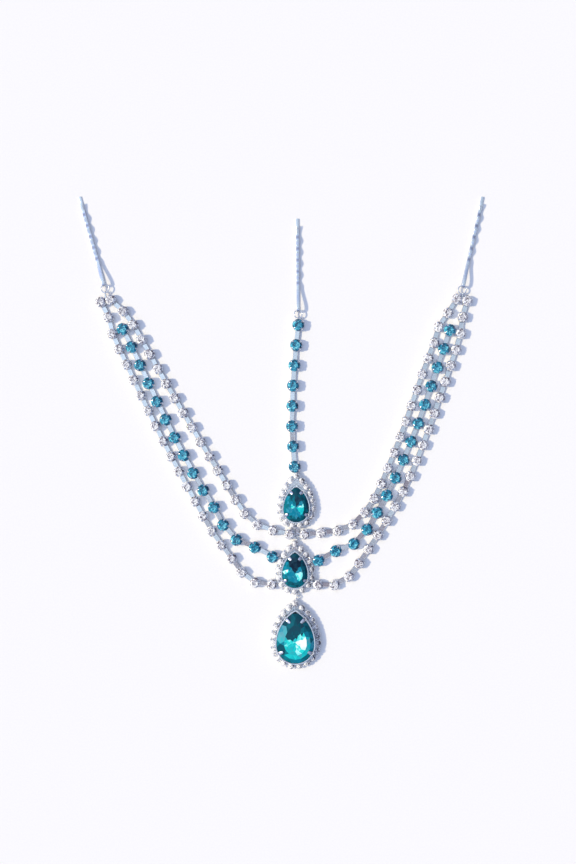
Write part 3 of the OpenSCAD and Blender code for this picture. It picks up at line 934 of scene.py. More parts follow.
@dataclass(frozen=True)
class CupKind:
    """One size of cup with its stone, in millimetres."""

    diameter: float
    height: float
    crown: float
    glass: CutGlass
    sparkle: Sparkle
    claw: float = 0.95
    wall: float = 0.35
    floor: float = 0.4
    mouth_high: float = 1.2
    mouth_wide: float = 3.1
    play: float = 0.02
    sides: int = 24
    claws: int = 4
    stone_wider: float = 0.1
    stone_lean: float = 1.2

    @property
    def radius(self) -> float:
        """Outer radius of the cup."""
        return self.diameter / 2

    def bowl(self) -> Mesh:
        """Turns the cup's bowl and cuts its two mouths.

        Returns:
            The mesh, with its mouths along X.
        """
        r, h, inside = self.radius, self.height, self.radius - self.wall
        solid = Solid()
        # The foot, the wall and the rim from outside, then the wall and the floor from inside
        solid.turn([(0, 0.0), (r - 0.5, 0.0), (r - 0.16, 0.1), (r - 0.02, 0.4), (r, h - 0.14),
                    (r - 0.09, h), (inside + 0.04, h), (inside, h - 0.3),
                    (inside - 0.1, self.floor), (0, self.floor)], self.sides)
        low, half = self.floor + self.play, self.mouth_wide / 2
        mouth = Solid()
        mouth.loft([[(x, y, z) for y, z in (
            (-half, low), (half, low), (half, self.mouth_high), (-half, self.mouth_high))]
            for x in (-r - 1, r + 1)])
        bowl = put("bowl", solid.mesh("bowl", FLAT))
        cutter = put("mouth", mouth.mesh("mouth", FLAT))
        cut = bowl.modifiers.new("mouth", "BOOLEAN")
        cut.object, cut.operation, cut.solver = cutter, "DIFFERENCE", "EXACT"
        mesh = settled(bowl)
        take_away(cutter)
        return finished(mesh, TURNED_SHARP)

    def claw_set(self) -> Mesh:
        """Bends the claws up the wall and over the stone's edge.

        Returns:
            The mesh of all the claws.
        """
        r, h, c = self.radius, self.height, self.crown
        # Up the wall, past the rim and along the stone's crown to the tip
        path = [(r - 0.06, h - 1.1), (r - 0.04, h - 0.1), (r - 0.12, h + 0.36 * c),
                (r - 0.5, h + 0.6 * c), (r - 0.9, h + 0.8 * c)]
        sizes = [(self.claw * wide, thick) for wide, thick in (
            (0.8, 0.26), (0.95, 0.32), (1.0, 0.42), (0.95, 0.42), (0.55, 0.25))]
        solid = Solid()
        for k in range(self.claws):
            solid.claw(path, sizes, np.zeros(2), math.tau * (k + 0.5) / self.claws, FLAT_CLAW)
        return solid.mesh("claws", CLAW_SHARP)


TEAL_CUP = CupKind(diameter=6.0, height=2.6, crown=1.3, glass=TEAL_GLASS, sparkle=Sparkle(
    (0.5, 0.5, 0.5, 0.45, 0.42), scatter=0.42))
CLEAR_CUP = CupKind(diameter=5.2, height=2.3, crown=1.1, glass=CLEAR_GLASS, sparkle=Sparkle(
    (0.5, 0.42, 0.45, 0.45, 0.5), scatter=0.5, bright_way=-20, bright=0.12, dark=0.12), claw=0.85)
LINK_WIDE, LINK_THICK, LINK_RIM = 2.3, 0.5, 0.45
LINK_Z = 0.8  # height of a link's middle
LINK_LEAN = 2.5  # most that a link tips on its posts, in degrees
LINK_LAYER = (0.1, 1.2)  # a CAD link lies between these heights, and a cup doesn't
SOLDER = (1.3, 2.2, 1.2)  # underside, top and width of a soldered bar
HOOK_IN = 0.95  # from a cup's middle to the inner edge of the eye round its post


def lies(cups: list[Place]) -> list[float]:
    """Gives how each cup of a chain lies: along the chain at its place."""
    last = len(cups) - 1
    return [way(cups[max(i - 1, 0)], cups[min(i + 1, last)]) for i in range(last + 1)]


def shells(node: str) -> list[np.ndarray]:
    """Splits a CAD node into its separate solids.

    Args:
        node: the node's name.

    Returns:
        The points of each solid, in millimetres.
    """
    shape = bmesh.new()
    shape.from_mesh(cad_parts[node].data)
    bmesh.ops.remove_doubles(shape, verts=shape.verts, dist=1e-6)
    left = set(shape.verts)
    found = []
    while left:
        points, front = [], [left.pop()]
        while front:
            vert = front.pop()
            points.append(vert.co / MM)
            near = {edge.other_vert(vert) for edge in vert.link_edges} & left
            left -= near
            front.extend(near)
        found.append(np.array(points))
    shape.free()
    return found


def cup_row(node: str, tag: str, kind: CupKind, places: list[Place],
            turns: list[float], seed: int) -> None:
    """Makes the cups and the stones of one kind in a node, as two pieces.

    Args:
        node: the CAD node that they stand for.
        tag: what tells these cups from others in the node; may be empty.
        kind: the size of cup.
        places: flat places of the cups.
        turns: how each cup lies.
        seed: seed of the stones' tones and turns.
    """
    label = f"{node}_{tag}" if tag else node
    shape = joined_mesh("cup", [kind.bowl(), kind.claw_set()])
    cups = row_of(label + "_cups", shape, places, 0, turns, PLATE)
    dress(cups, label + "_cups", node)
    stone, bands = RoundCut(kind.diameter + kind.stone_wider, kind.crown - kind.play).shape()
    rng = np.random.default_rng(seed)
    spins = [t + s for t, s in zip(turns, rng.uniform(0, math.tau, len(turns)))]
    stones = row_of(label + "_stones", stone, places, kind.height, spins, kind.glass,
                    kind.stone_lean, seed)
    kind.sparkle.paint(stones, bands, seed)
    dress(stones, label + "_stones", node, kind.glass)


def solder(name: str, node: str, start: Place, end: Place) -> None:
    """Makes the bar that is soldered between two cups, or a cup and a halo, as a piece.

    Args:
        name: the piece's name.
        node: the CAD node that it stands for.
        start: place of one end.
        end: place of the other end.
    """
    solid = Solid()
    solid.bar(start, end, *SOLDER)
    dress(solid.mesh(name), name, node)


@dataclass
class Chain:
    """A string of cups on flat links, which takes its places from the CAD links."""

    node: str
    kind: CupKind
    slot: Slot
    seed: int
    soldered: tuple[int, ...]
    cups: list[Place] = field(init=False)

    def __post_init__(self) -> None:
        """Finds the places of the cups."""
        self.cups = self.find_cups()

    def find_cups(self) -> list[Place]:
        """Finds the cups between the links.

        Returns:
            Flat places of the cups in order, the soldered ones at both ends among them.
        """
        spans = []
        for points in shells(self.node):
            if LINK_LAYER[0] < points[:, 2].min() and points[:, 2].max() < LINK_LAYER[1]:
                middle = (points[:, :2].max(0) + points[:, :2].min(0)) / 2
                off = points[:, :2] - middle
                turn = long_way(off)
                reach = (np.ptp(off @ turn) - 2 * LINK_RIM) / 2 + HOOK_IN
                spans.append((middle - turn * reach, middle + turn * reach))
        spans.sort(key=lambda s: -(s[0][1] + s[1][1]))
        chain = [sorted(spans.pop(0), key=lambda p: -p[1])]
        while spans:
            end = chain[-1][1]
            near = min(spans, key=lambda s: min(np.linalg.norm(p - end) for p in s))
            spans = [s for s in spans if s is not near]
            chain.append(sorted(near, key=lambda p: float(np.linalg.norm(p - end))))
        inner = [(a[1] + b[0]) / 2 for a, b in zip(chain, chain[1:])]
        return [chain[0][0], *inner, chain[-1][1]]

    def build(self) -> None:
        """Makes the chain's loose cups with their stones, and its links."""
        count, turns = len(self.cups), lies(self.cups)
        loose = sorted(set(range(count)) - {s % count for s in self.soldered})
        cup_row(self.node, "", self.kind, [self.cups[i] for i in loose],
                [turns[i] for i in loose], self.seed)
        pairs = list(zip(self.cups, self.cups[1:]))
        spans = [float(np.linalg.norm(b - a)) / 2 - HOOK_IN for a, b in pairs]
        usual = sum(spans) / len(spans)
        name = self.node + "_links"
        links = row_of(name, self.link(usual), [(a + b) / 2 for a, b in pairs], LINK_Z,
                       [way(a, b) for a, b in pairs], PLATE, LINK_LEAN, self.seed,
                       [s / usual for s in spans])
        dress(links, name, self.node)

    def link(self, half: float) -> Mesh:
        """Makes a link: a flat strip with an eye at each end.

        Args:
            half: distance from its middle to the far inner edge of an eye.

        Returns:
            The mesh, round the link's middle along X.
        """
        eye_r = (LINK_WIDE - LINK_RIM) / 2
        out = half + LINK_RIM / 2 - eye_r
        end = np.array([out - eye_r, 0])
        strip = Solid()
        strip.bar(-end, end, -LINK_THICK / 2, LINK_THICK / 2, LINK_WIDE)
        eyes = [wire_ring("eye", eye_r, LINK_RIM, Matrix.Translation((x * MM, 0, 0)), steps=12,
                          sides=6) for x in (-out, out)]
        return joined_mesh("link", [strip.mesh("strip"), *eyes])


def chain_cups(node: str, tag: str, chains: tuple[Chain, ...], i: int,
               seed: int) -> list[Place]:
    """Makes cups of chains that are soldered to another node.

    Args:
        node: the CAD node that they stand for.
        tag: what tells these cups from others in the node; may be empty.
        chains: the chains, with the same kind of cup.
        i: number of the cup in each chain.
        seed: seed of the stones' tones and turns.

    Returns:
        Flat places of the cups.
    """
    cups = [chain.cups[i] for chain in chains]
    turns = [lies(chain.cups)[i] for chain in chains]
    cup_row(node, tag, chains[0].kind, cups, turns, seed)
    return cups


# Pins and rings


@dataclass(frozen=True)
class BobbyPin:
    """A bobby pin of rolled strip: a straight leg, a bend, and a wavy leg with a lifted tip."""

    side: str
    length: float = 47.0
    width: float = 1.6
    thick: float = 0.45
    edge: float = 0.16
    bend: float = 1.4
    short: float = 3.7
    wave: float = 5.7
    wave_high: float = 0.45
    wave_from: float = 13.2
    lift: float = 0.7
    play: float = 0.15
    bend_step: int = 12
    straight_from: float = 3.0
    straight_steps: int = 12
    wavy_from: float = 0.6
    wavy_steps: int = 84

    @property
    def bend_r(self) -> float:
        """Radius of the bend at the middle of the strip."""
        return self.bend + self.thick / 2

    def leg_height(self, x: float) -> float:
        """Gives the height of the wavy leg's middle.

        Args:
            x: distance from the bend's end.

        Returns:
            The height.
        """
        low = self.thick * 1.5 + self.play
        top = self.thick / 2 + 2 * self.bend_r
        start = self.bend_r + self.thick / 2
        end = self.length - self.short
        waves = math.floor((end - self.wave_from) / self.wave - 0.5) + 0.5
        last = self.wave_from + waves * self.wave
        if x < self.wave_from:
            t = (x - start) / (self.wave_from - start)
            return top + (low + 2 * self.wave_high - top) * (1 - math.cos(math.pi * t)) / 2
        if x < last:
            t = (x - self.wave_from) / self.wave
            return low + self.wave_high * (1 + math.cos(math.tau * t))
        return low + self.lift * (1 - math.cos(math.pi * (x - last) / (end - last))) / 2

    def line(self) -> list[Pair]:
        """Draws the strip's middle line.

        Returns:
            Distance from the bend's end and height of each point, from the straight leg's tip
            to the wavy leg's.
        """
        centre = self.thick / 2 + self.bend_r
        straight = [(x, self.thick / 2) for x in np.linspace(
            self.length, centre + self.straight_from, self.straight_steps)]
        bend = [(centre + self.bend_r * math.cos(a), centre + self.bend_r * math.sin(a))
                for a in np.radians(np.arange(270, 89, -self.bend_step))]
        wavy = [(float(x), self.leg_height(float(x))) for x in np.linspace(
            centre + self.wavy_from, self.length - self.short, self.wavy_steps)]
        return [*straight, *bend, *wavy]

    def place(self) -> Matrix:
        """Finds where the pin lies, from the CAD node.

        Returns:
            The matrix that takes the bend's end and the X axis to their places, in metres.
        """
        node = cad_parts["pin_" + self.side]
        points = np.array([v.co / MM for v in node.data.vertices])[:, :2]
        middle = points.mean(0)
        along = long_way(points - middle)
        along = along if along[1] > 0 else -along
        across = np.array([-along[1], along[0]])
        off = (points - middle) @ across
        end = middle + along * ((points - middle) @ along).min()
        end = end + across * (off.max() + off.min()) / 2
        return (Matrix.Translation((end[0] * MM, end[1] * MM, 0))
                @ Matrix.Rotation(math.atan2(along[1], along[0]), 4, "Z"))

    def build(self) -> None:
        """Sweeps the strip along its line and lays it in its place."""
        line = self.line()
        source = bpy.data.meshes.new("pin_line")
        source.from_pydata([(x * MM, 0, z * MM) for x, z in line],
                           [(i, i + 1) for i in range(len(line) - 1)], [])
        node = "pin_" + self.side
        strip = grow(node + "_strip", source, STRIP_TREE, STEEL, {
            "Strip width": self.width * MM, "Strip thickness": self.thick * MM,
            "Edge radius": self.edge * MM})
        strip.transform(self.place())
        dress(finished(strip, WIRE_SHARP), node + "_strip", node, STEEL)


@dataclass(frozen=True)
class JumpRing:
    """A wire ring that lies flat, with its cut turned aside."""

    node: str
    radius: float
    wire: float
    cut_way: float
    cut: float = 0.12

    def build(self) -> None:
        """Bends the ring round the middle of its CAD node."""
        place = (Matrix.Translation(Vector(box_middle(self.node)) * MM)
                 @ Matrix.Rotation(math.radians(self.cut_way), 4, "Z"))
        name = self.node + "_wire"
        dress(wire_ring(name, self.radius, self.wire, place, self.cut), name, self.node)


@dataclass(frozen=True)
class Bail:
    """A small wire ring on edge that a flat ring goes through, at the flat ring's height."""

    radius: float
    wire: float
    z: float
    ring_r: float

    def mesh(self, name: str, eye: Place, angle: float) -> Mesh:
        """Bends the bail.

        Args:
            name: the mesh's name.
            eye: flat place of its middle.
            angle: the way it stands along, in radians.

        Returns:
            The mesh.
        """
        place = (Matrix.Translation((eye[0] * MM, eye[1] * MM, self.z * MM))
                 @ Matrix.Rotation(angle, 4, "Z") @ Matrix.Rotation(math.pi / 2, 4, "X"))
        return wire_ring(name, self.radius, self.wire, place)


# Pieces soldered from cups

PIN_BAIL = Bail(radius=0.65, wire=0.4, z=1.85, ring_r=2.0)
DROP_BAIL = Bail(radius=0.525, wire=0.3, z=1.15, ring_r=0.9)


@dataclass(frozen=True)
class EndPair:
    """Two first cups soldered side by side, with a stem and a bail for the pin's ring."""

    side: str
    outer: Chain
    inner: Chain
    seed: int

    def build(self) -> None:
        """Makes the pair's cups, stones, solder, stem and bail."""
        node, bail = "end_pair_" + self.side, PIN_BAIL
        cups = chain_cups(node, "", (self.outer, self.inner), 0, self.seed)
        ring = box_middle("ring_" + self.side)[:2]
        middle = (cups[0] + cups[1]) / 2
        down = way(ring, middle)
        eye = ring + bail.ring_r * unit(down)
        solid = Solid()
        solid.bar(cups[0], cups[1], *SOLDER)
        solid.bar(eye + bail.radius * unit(down), middle, bail.z - bail.wire, bail.z + bail.wire,
                  2 * bail.wire)
        eye_ring = bail.mesh("bail", eye, down)
        mesh = joined_mesh(node + "_solder", [solid.mesh("solder"), eye_ring])
        dress(mesh, node + "_solder", node)


@dataclass(frozen=True)
class JoinedCups:
    """The third cups of two clear chains, soldered to the first cup of the teal chain between."""

    side: str
    outer: Chain
    inner: Chain
    teal: Chain
    seed: int

    def build(self) -> None:
        """Makes the three cups, their stones and the solder between them."""
        node = "joined_cups_" + self.side
        clear = (self.outer, self.inner)
        cups = chain_cups(node, "clear", clear, 2, self.seed)
        chain_cups(node, "teal", (self.teal,), 0, self.seed + 1)
        solder(node + "_solder", node, cups[0], cups[1])


# Pendants


@dataclass(frozen=True)
class Patch:
    """A patch of facets painted with the same light, as seen from the culet, the table's middle.

    Its way and half its angle are in degrees, and its near and far edge are shares of the way
    from the culet to the outline. Its painted light is on the scale of PEAR_GLASS, up to painted
    highlights.
    """

    way: float
    half: float
    near: float
    far: float
    tone: float

    def holds(self, angle: float, share: float) -> bool:
        """Tells whether a facet lies in the patch, by its angle and share of the way out."""
        turned = abs((angle - self.way + 180) % 360 - 180)
        return self.near <= share <= self.far and turned <= self.half


@dataclass(frozen=True)
class PearCut:
    """A pear stone: a faceted table and crown, a girdle and a pointed back."""

    outline: Pear
    top: float
    crown: float
    patches: tuple[Patch, ...]
    seed: int
    sides: int = 18
    shares: tuple[float, ...] = (0.14, 0.28, 0.43, 0.6, 0.8, 1.0)
    table: float = 0.6
    slope: float = 0.6
    girdle: float = 0.3
    back_z: float = 0.92
    back_tone: float = 0.1
    scatter: float = 0.05

    @property
    def culet(self) -> Place:
        """Place of the table's middle, a little above the middle of the circle."""
        return np.array([0, self.outline.radius * 0.16])

    def shape(self, name: str) -> Mesh:
        """Cuts the stone and gives each facet its painted light and shade.

        Args:
            name: the mesh's name.

        Returns:
            The mesh, round the middle of the stone's circle.
        """
        culet = self.culet[1]
        girdle_z = self.top - self.crown
        heights = {0: girdle_z, 1: girdle_z + self.crown * self.slope}
        last = len(self.shares) - 1
        solid = Solid()
        solid.points = [(0, culet, self.top)]
        reach = [0.0]
        for r, share in enumerate((*self.shares, 1.0)):
            z = girdle_z - self.girdle if r > last else heights.get(last - r, self.top)
            ring = self.outline.ring(self.sides, z, min(r, last) % 2 / 2)
            solid.points += [(x * share, culet * (1 - share) + y * share, z) for x, y, z in ring]
            reach += [share] * self.sides
        solid.points.append((0, culet, self.back_z))
        solid.faces, bands = cut_faces(self.sides, len(self.shares))
        rng = np.random.default_rng(self.seed)
        tones = [self.tone(face, band, solid.points, reach, rng)
                 for face, band in zip(solid.faces, bands)]
        mesh = solid.mesh(name, FLAT)
        # Each facet's painted light and shade
        mesh.attributes.new("tone", "FLOAT", "FACE").data.foreach_set("value", tones)
        return mesh

    def tone(self, face: tuple[int, ...], band: int, points: list[Point], reach: list[float],
             rng: np.random.Generator) -> float:
        """Gives a facet's painted light: that of the last patch that holds it, with some scatter.

        Args:
            face: the facet's corners, as numbers of points.
            band: the facet's band.
            points: the stone's points.
            reach: each point's share of the way from the culet to the outline.
            rng: where the scatter is drawn from.

        Returns:
            The painted light, from 0 to 1.
        """
        if band == len(self.shares):
            return self.back_tone
        angle = math.degrees(way(self.culet, np.mean([points[c][:2] for c in face], axis=0)))
        share = float(np.mean([reach[c] for c in face]))
        # The crown's facets differ twice as much as the table's
        tone = [p.tone for p in self.patches if p.holds(angle, share)][-1]
        scatter = self.scatter * (1 if share < self.table else 2)
        return min(max(tone + rng.uniform(-scatter, scatter), 0), 1)


# Painted light and shade in each pear stone, with its painted highlights: the table, the crown,
# then the patches on them
UPPER_LIGHT = (
    Patch(0, 180, 0, 0.6, 0.5), Patch(0, 180, 0.6, 1, 0.38),
    Patch(90, 36, 0.5, 1, 0.25), Patch(112, 14, 0.2, 0.6, 0.38),
    Patch(78, 24, 0, 0.62, 0.1), Patch(-22, 32, 0.08, 0.6, 0.8),
    Patch(12, 10, 0.1, 0.55, 0.93), Patch(165, 20, 0.1, 0.42, 0.86),
    Patch(150, 30, 0.5, 1, 0.43), Patch(-130, 40, 0.2, 0.8, 0.5),
    Patch(-90, 60, 0.68, 1, 0.28), Patch(5, 50, 0.62, 1, 0.26))
MIDDLE_LIGHT = (
    Patch(0, 180, 0, 0.6, 0.5), Patch(0, 180, 0.6, 1, 0.38),
    Patch(90, 36, 0, 1, 0.03), Patch(90, 30, 0.75, 1, 0.25),
    Patch(-25, 36, 0.06, 0.58, 0.9), Patch(-115, 40, 0.1, 0.62, 0.5),
    Patch(160, 36, 0.5, 1, 0.43), Patch(172, 12, 0.5, 0.9, 0.88),
    Patch(10, 50, 0.62, 1, 0.26), Patch(-90, 60, 0.68, 1, 0.3))
DROP_LIGHT = (
    Patch(0, 180, 0, 0.6, 0.75), Patch(0, 180, 0.6, 1, 0.45),
    Patch(97, 56, 0.1, 0.62, 0.22), Patch(90, 44, 0.6, 1, 0.24),
    Patch(152, 24, 0.55, 1, 0.6), Patch(30, 32, 0.5, 1, 0.34),
    Patch(180, 26, 0.08, 0.5, 0.86), Patch(-8, 52, 0, 0.62, 0.88),
    Patch(-8, 34, 0, 0.56, 1.0), Patch(50, 12, 0.15, 0.45, 0.9),
    Patch(-75, 12, 0.1, 0.6, 0.9), Patch(-8, 30, 0.6, 0.78, 0.74),
    Patch(-85, 60, 0.6, 0.78, 0.72), Patch(-90, 70, 0.78, 1, 0.4),
    Patch(-150, 20, 0.6, 1, 0.28))


@dataclass(frozen=True)
class Pendant:
    """A pear stone in a bezel with four claws, on a plate, in a halo of small stones in cups."""

    name: str
    width: float
    length: float
    apex: float
    top: float
    light: tuple[Patch, ...]
    seed: int
    crown: float = 1.7
    plate: float = 0.8
    edge: float = 0.15
    bezel: float = 0.5
    lip: float = 0.12
    gap: float = 0.12
    claw: float = 1.4
    claw_reach: float = 0.25
    claws_high: float = 0.3
    claws_low: float = 28.0
    halo_cup: float = 3.4
    halo_high: float = 2.2
    halo_crown: float = 0.8
    halo_pitch: float = 3.9
    halo_in: float = 0.4
    halo_lean: float = 3.0
    halo_sparkle: Sparkle = Sparkle((0.5, 0.5, 0.45), scatter=0.45, dark_way=0)
    bead_r: float = 0.55
    beads_at: Pair = (-0.85, 0.95)
    stem: Pair = (0.15, -0.6)
    steps: int = 96

    @property
    def node(self) -> str:
        """Name of the setting's CAD node."""
        return self.name + "_setting"

    @property
    def outline(self) -> Pear:
        """Outline of the bezel's inside."""
        return Pear(self.width / 2, self.length - self.width / 2)

    @property
    def halo(self) -> Pear:
        """Line on which the halo's cups stand."""
        out = self.bezel + self.halo_cup / 2 - self.halo_in
        return Pear(self.outline.radius + out, self.outline.point + self.apex)

    @property
    def place(self) -> Place:
        """Middle of the stone's circle, from the CAD stone."""
        low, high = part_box(self.name + "_stone")
        return np.array([(low.x + high.x) / 2 / MM, low.y / MM + self.outline.radius - self.gap])

    @property
    def girdle_z(self) -> float:
        """Height of the stone's girdle."""
        return self.top - self.crown

    def plate_mesh(self) -> Mesh:
        """Turns the plate with its bezel in one shell.

        Returns:
            The mesh: bottom, edge, top, the bezel's wall, lip and inside, and the floor.
        """
        halo, inside, edge = self.halo, self.outline, self.edge
        wall, lip = inside.grown(self.bezel), self.girdle_z + self.lip
        solid = Solid()
        solid.loft([path.ring(self.steps, z) for path, z in (
            (halo.grown(-edge), 0), (halo, edge), (halo, self.plate - edge),
            (halo.grown(-edge), self.plate), (wall.grown(edge), self.plate),
            (wall, self.plate + edge), (wall, lip - 0.35),
            (inside.grown(self.bezel * 0.8), lip - 0.06), (inside.grown(self.bezel * 0.4), lip),
            (inside.grown(-0.06), lip - 0.06), (inside, self.girdle_z - 0.4),
            (inside, self.plate))])
        return solid.mesh(self.name + "_plate", TURNED_SHARP)

    def claw_mesh(self) -> Mesh:
        """Bends the four claws up the bezel and over the stone's crown.

        Returns:
            The mesh of all four.
        """
        inside, z = self.outline, self.girdle_z
        reach = inside.radius * self.claw_reach
        rise = self.crown / (inside.radius * 0.4) * reach
        path = [(self.bezel + 0.05, self.plate), (self.bezel, z - 0.4),
                (self.bezel * 0.6, z + 0.32), (-reach * 0.35, z + 0.5 + rise * 0.35),
                (-reach * 0.85, z + 0.42 + rise * 0.85), (-reach * 1.1, z + 0.36 + rise * 1.1)]
        sizes = [(self.claw * wide, thick) for wide, thick in (
            (0.9, 0.45), (1.0, 0.5), (1.15, 0.6), (1.2, 0.6), (1.05, 0.5), (0.65, 0.3))]
        high = inside.side_l * self.claws_high
        low = inside.side_l + math.radians(self.claws_low) * inside.radius
        solid = Solid()
        for s in (high, low, inside.length - low, inside.length - high):
            solid.claw(path, sizes, inside.at(s), inside.way(s), ROUND_CLAW)
        return solid.mesh(self.name + "_claws", CLAW_SHARP)

    def halo_shape(self) -> Mesh:
        """Turns one small cup of the halo.

        Returns:
            The mesh, round its own middle.
        """
        r, h = self.halo_cup / 2, self.halo_high
        solid = Solid()
        solid.turn([(0, 0), (r - 0.1, 0.0), (r, 0.15), (r, h - 0.2), (r - 0.14, h), (r - 0.3, h),
                    (r - 0.34, h - 0.25), (0, h - 0.25)], 16)
        return solid.mesh("halo_cup", TURNED_SHARP)

    def bead_shape(self) -> Mesh:
        """Makes one round bead of metal between two halo stones.

        Returns:
            The mesh, round its own middle.
        """
        r = self.bead_r
        middle = [(r * math.cos(a), r * math.sin(a)) for a in np.radians([-55, -18, 18, 55])]
        solid = Solid()
        solid.turn([(0, -r), *middle, (0, r)], 8)
        return solid.mesh("bead", BEAD_SHARP)

    def build_halo(self) -> None:
        """Makes the halo's cups, stones and beads, as three pieces."""
        node, path = self.node, self.halo
        count = round(path.length / self.halo_pitch)
        steps = [path.length * i / count for i in range(count)]
        places = [self.place + path.at(s) for s in steps]
        turns = [path.way(s) for s in steps]
        cups = row_of(node + "_halo_cups", self.halo_shape(), places, 0, turns, PLATE)
        dress(cups, node + "_halo_cups", node)
        stone, bands = RoundCut(self.halo_cup - 0.3, self.halo_crown, sides=8,
                                shares=(0.3, 0.62, 1.0), depth=0.2).shape()
        spins = list(np.random.default_rng(self.seed).uniform(0, 6, count))
        stones = row_of(node + "_halo_stones", stone, places, self.halo_high, spins, HALO_GLASS,
                        self.halo_lean, self.seed)
        # Painted light: the stones on the side towards the key light are painted lighter, the
        # others darker
        lift = [0.16 - 0.2 * math.cos(t + 0.2) for t in turns]
        self.halo_sparkle.paint(stones, bands, self.seed, lift)
        dress(stones, node + "_halo_stones", node, HALO_GLASS)
        between = [path.length * (i + 0.5) / count for i in range(count)]
        spots = [self.place + path.at(s) + out * unit(path.way(s))
                 for s in between for out in self.beads_at]
        beads = row_of(node + "_beads", self.bead_shape(), spots, self.halo_high - 0.1,
                       [0.0] * len(spots), PLATE)
        dress(beads, node + "_beads", node)

    def build(self) -> None:
        """Makes the setting's plate, bezel, claws and halo, and the pear stone."""
        shift = Matrix.Translation((*(self.place * MM), 0))
        body = joined_mesh(self.node + "_bezel", [self.plate_mesh(), self.claw_mesh()])
        body.transform(shift)
        dress(body, self.node + "_bezel", self.node)
        self.build_halo()
        cut = PearCut(
            self.outline.grown(-self.gap), self.top, self.crown, self.light, self.seed)
        pear = cut.shape(self.name + "_stone_cut")
        pear.transform(shift)
        dress(pear, self.name + "_stone_cut", self.name + "_stone", PEAR_GLASS)

    def nearest(self, place: Place) -> Place:
        """Finds the spot of the halo's line that is nearest to a place.

        Args:
            place: the place.

        Returns:
            Place of the spot.
        """
        path = self.halo
        spots = [self.place + path.at(float(s))
                 for s in np.linspace(0, path.length, 400, endpoint=False)]
        return min(spots, key=lambda p: float(np.linalg.norm(p - place)))

    def join_last(self, chain: Chain, seed: int) -> None:
        """Solders the last cup of a chain to the halo.

        Args:
            chain: the chain whose last cup it is.
            seed: seed of its stone.
        """
        tag = chain.node.replace("_chain", "")
        cup, = chain_cups(self.node, tag, (chain,), -1, seed)
        solder(f"{self.node}_{tag}_solder", self.node, cup, self.nearest(cup))

    def hang(self, ring: str, angle: float) -> None:
        """Makes the small bail that one of the pendants' rings goes through.

        Args:
            ring: the ring's CAD node.
            angle: way from the setting to the ring, in degrees.
        """
        bail, turn = DROP_BAIL, math.radians(angle)
        eye = box_middle(ring)[:2] - bail.ring_r * unit(turn)
        root = eye - bail.radius * unit(turn)
        eye_ring = bail.mesh("bail", eye, turn)
        solid = Solid()
        start, end = (root + out * unit(turn) for out in self.stem)
        solid.bar(start, end, bail.z - bail.wire, bail.z + bail.wire, 2 * bail.wire)
        name = f"{self.node}_bail_{'low' if angle < 0 else 'high'}"
        dress(joined_mesh(name, [solid.mesh("stem"), eye_ring]), name, self.node)


@dataclass(frozen=True)
class Yoke:
    """The bar under a pendant that holds the last cups of two chains.

    The bar and its tongue are given by underside, top and width.
    """

    left: Chain
    right: Chain
    pendant: Pendant
    seed: int
    cup_in: float = 2.3
    bar: Point = (0.4, 1.7, 1.0)
    tongue: Point = (0.0, 0.8, 2.0)
    tongue_long: float = 3.4

    def build(self) -> None:
        """Makes the two cups with their stones, and the bar with its tongue to the halo."""
        node = self.pendant.node
        cups = chain_cups(node, "inner", (self.left, self.right), -1, self.seed)
        middle = (cups[0] + cups[1]) / 2
        solid = Solid()
        solid.bar(cups[0] + (self.cup_in, 0), cups[1] - (self.cup_in, 0), *self.bar)
        solid.bar(middle, middle + (0, self.tongue_long), *self.tongue)
        dress(solid.mesh(node + "_yoke"), node + "_yoke", node)


# Studio


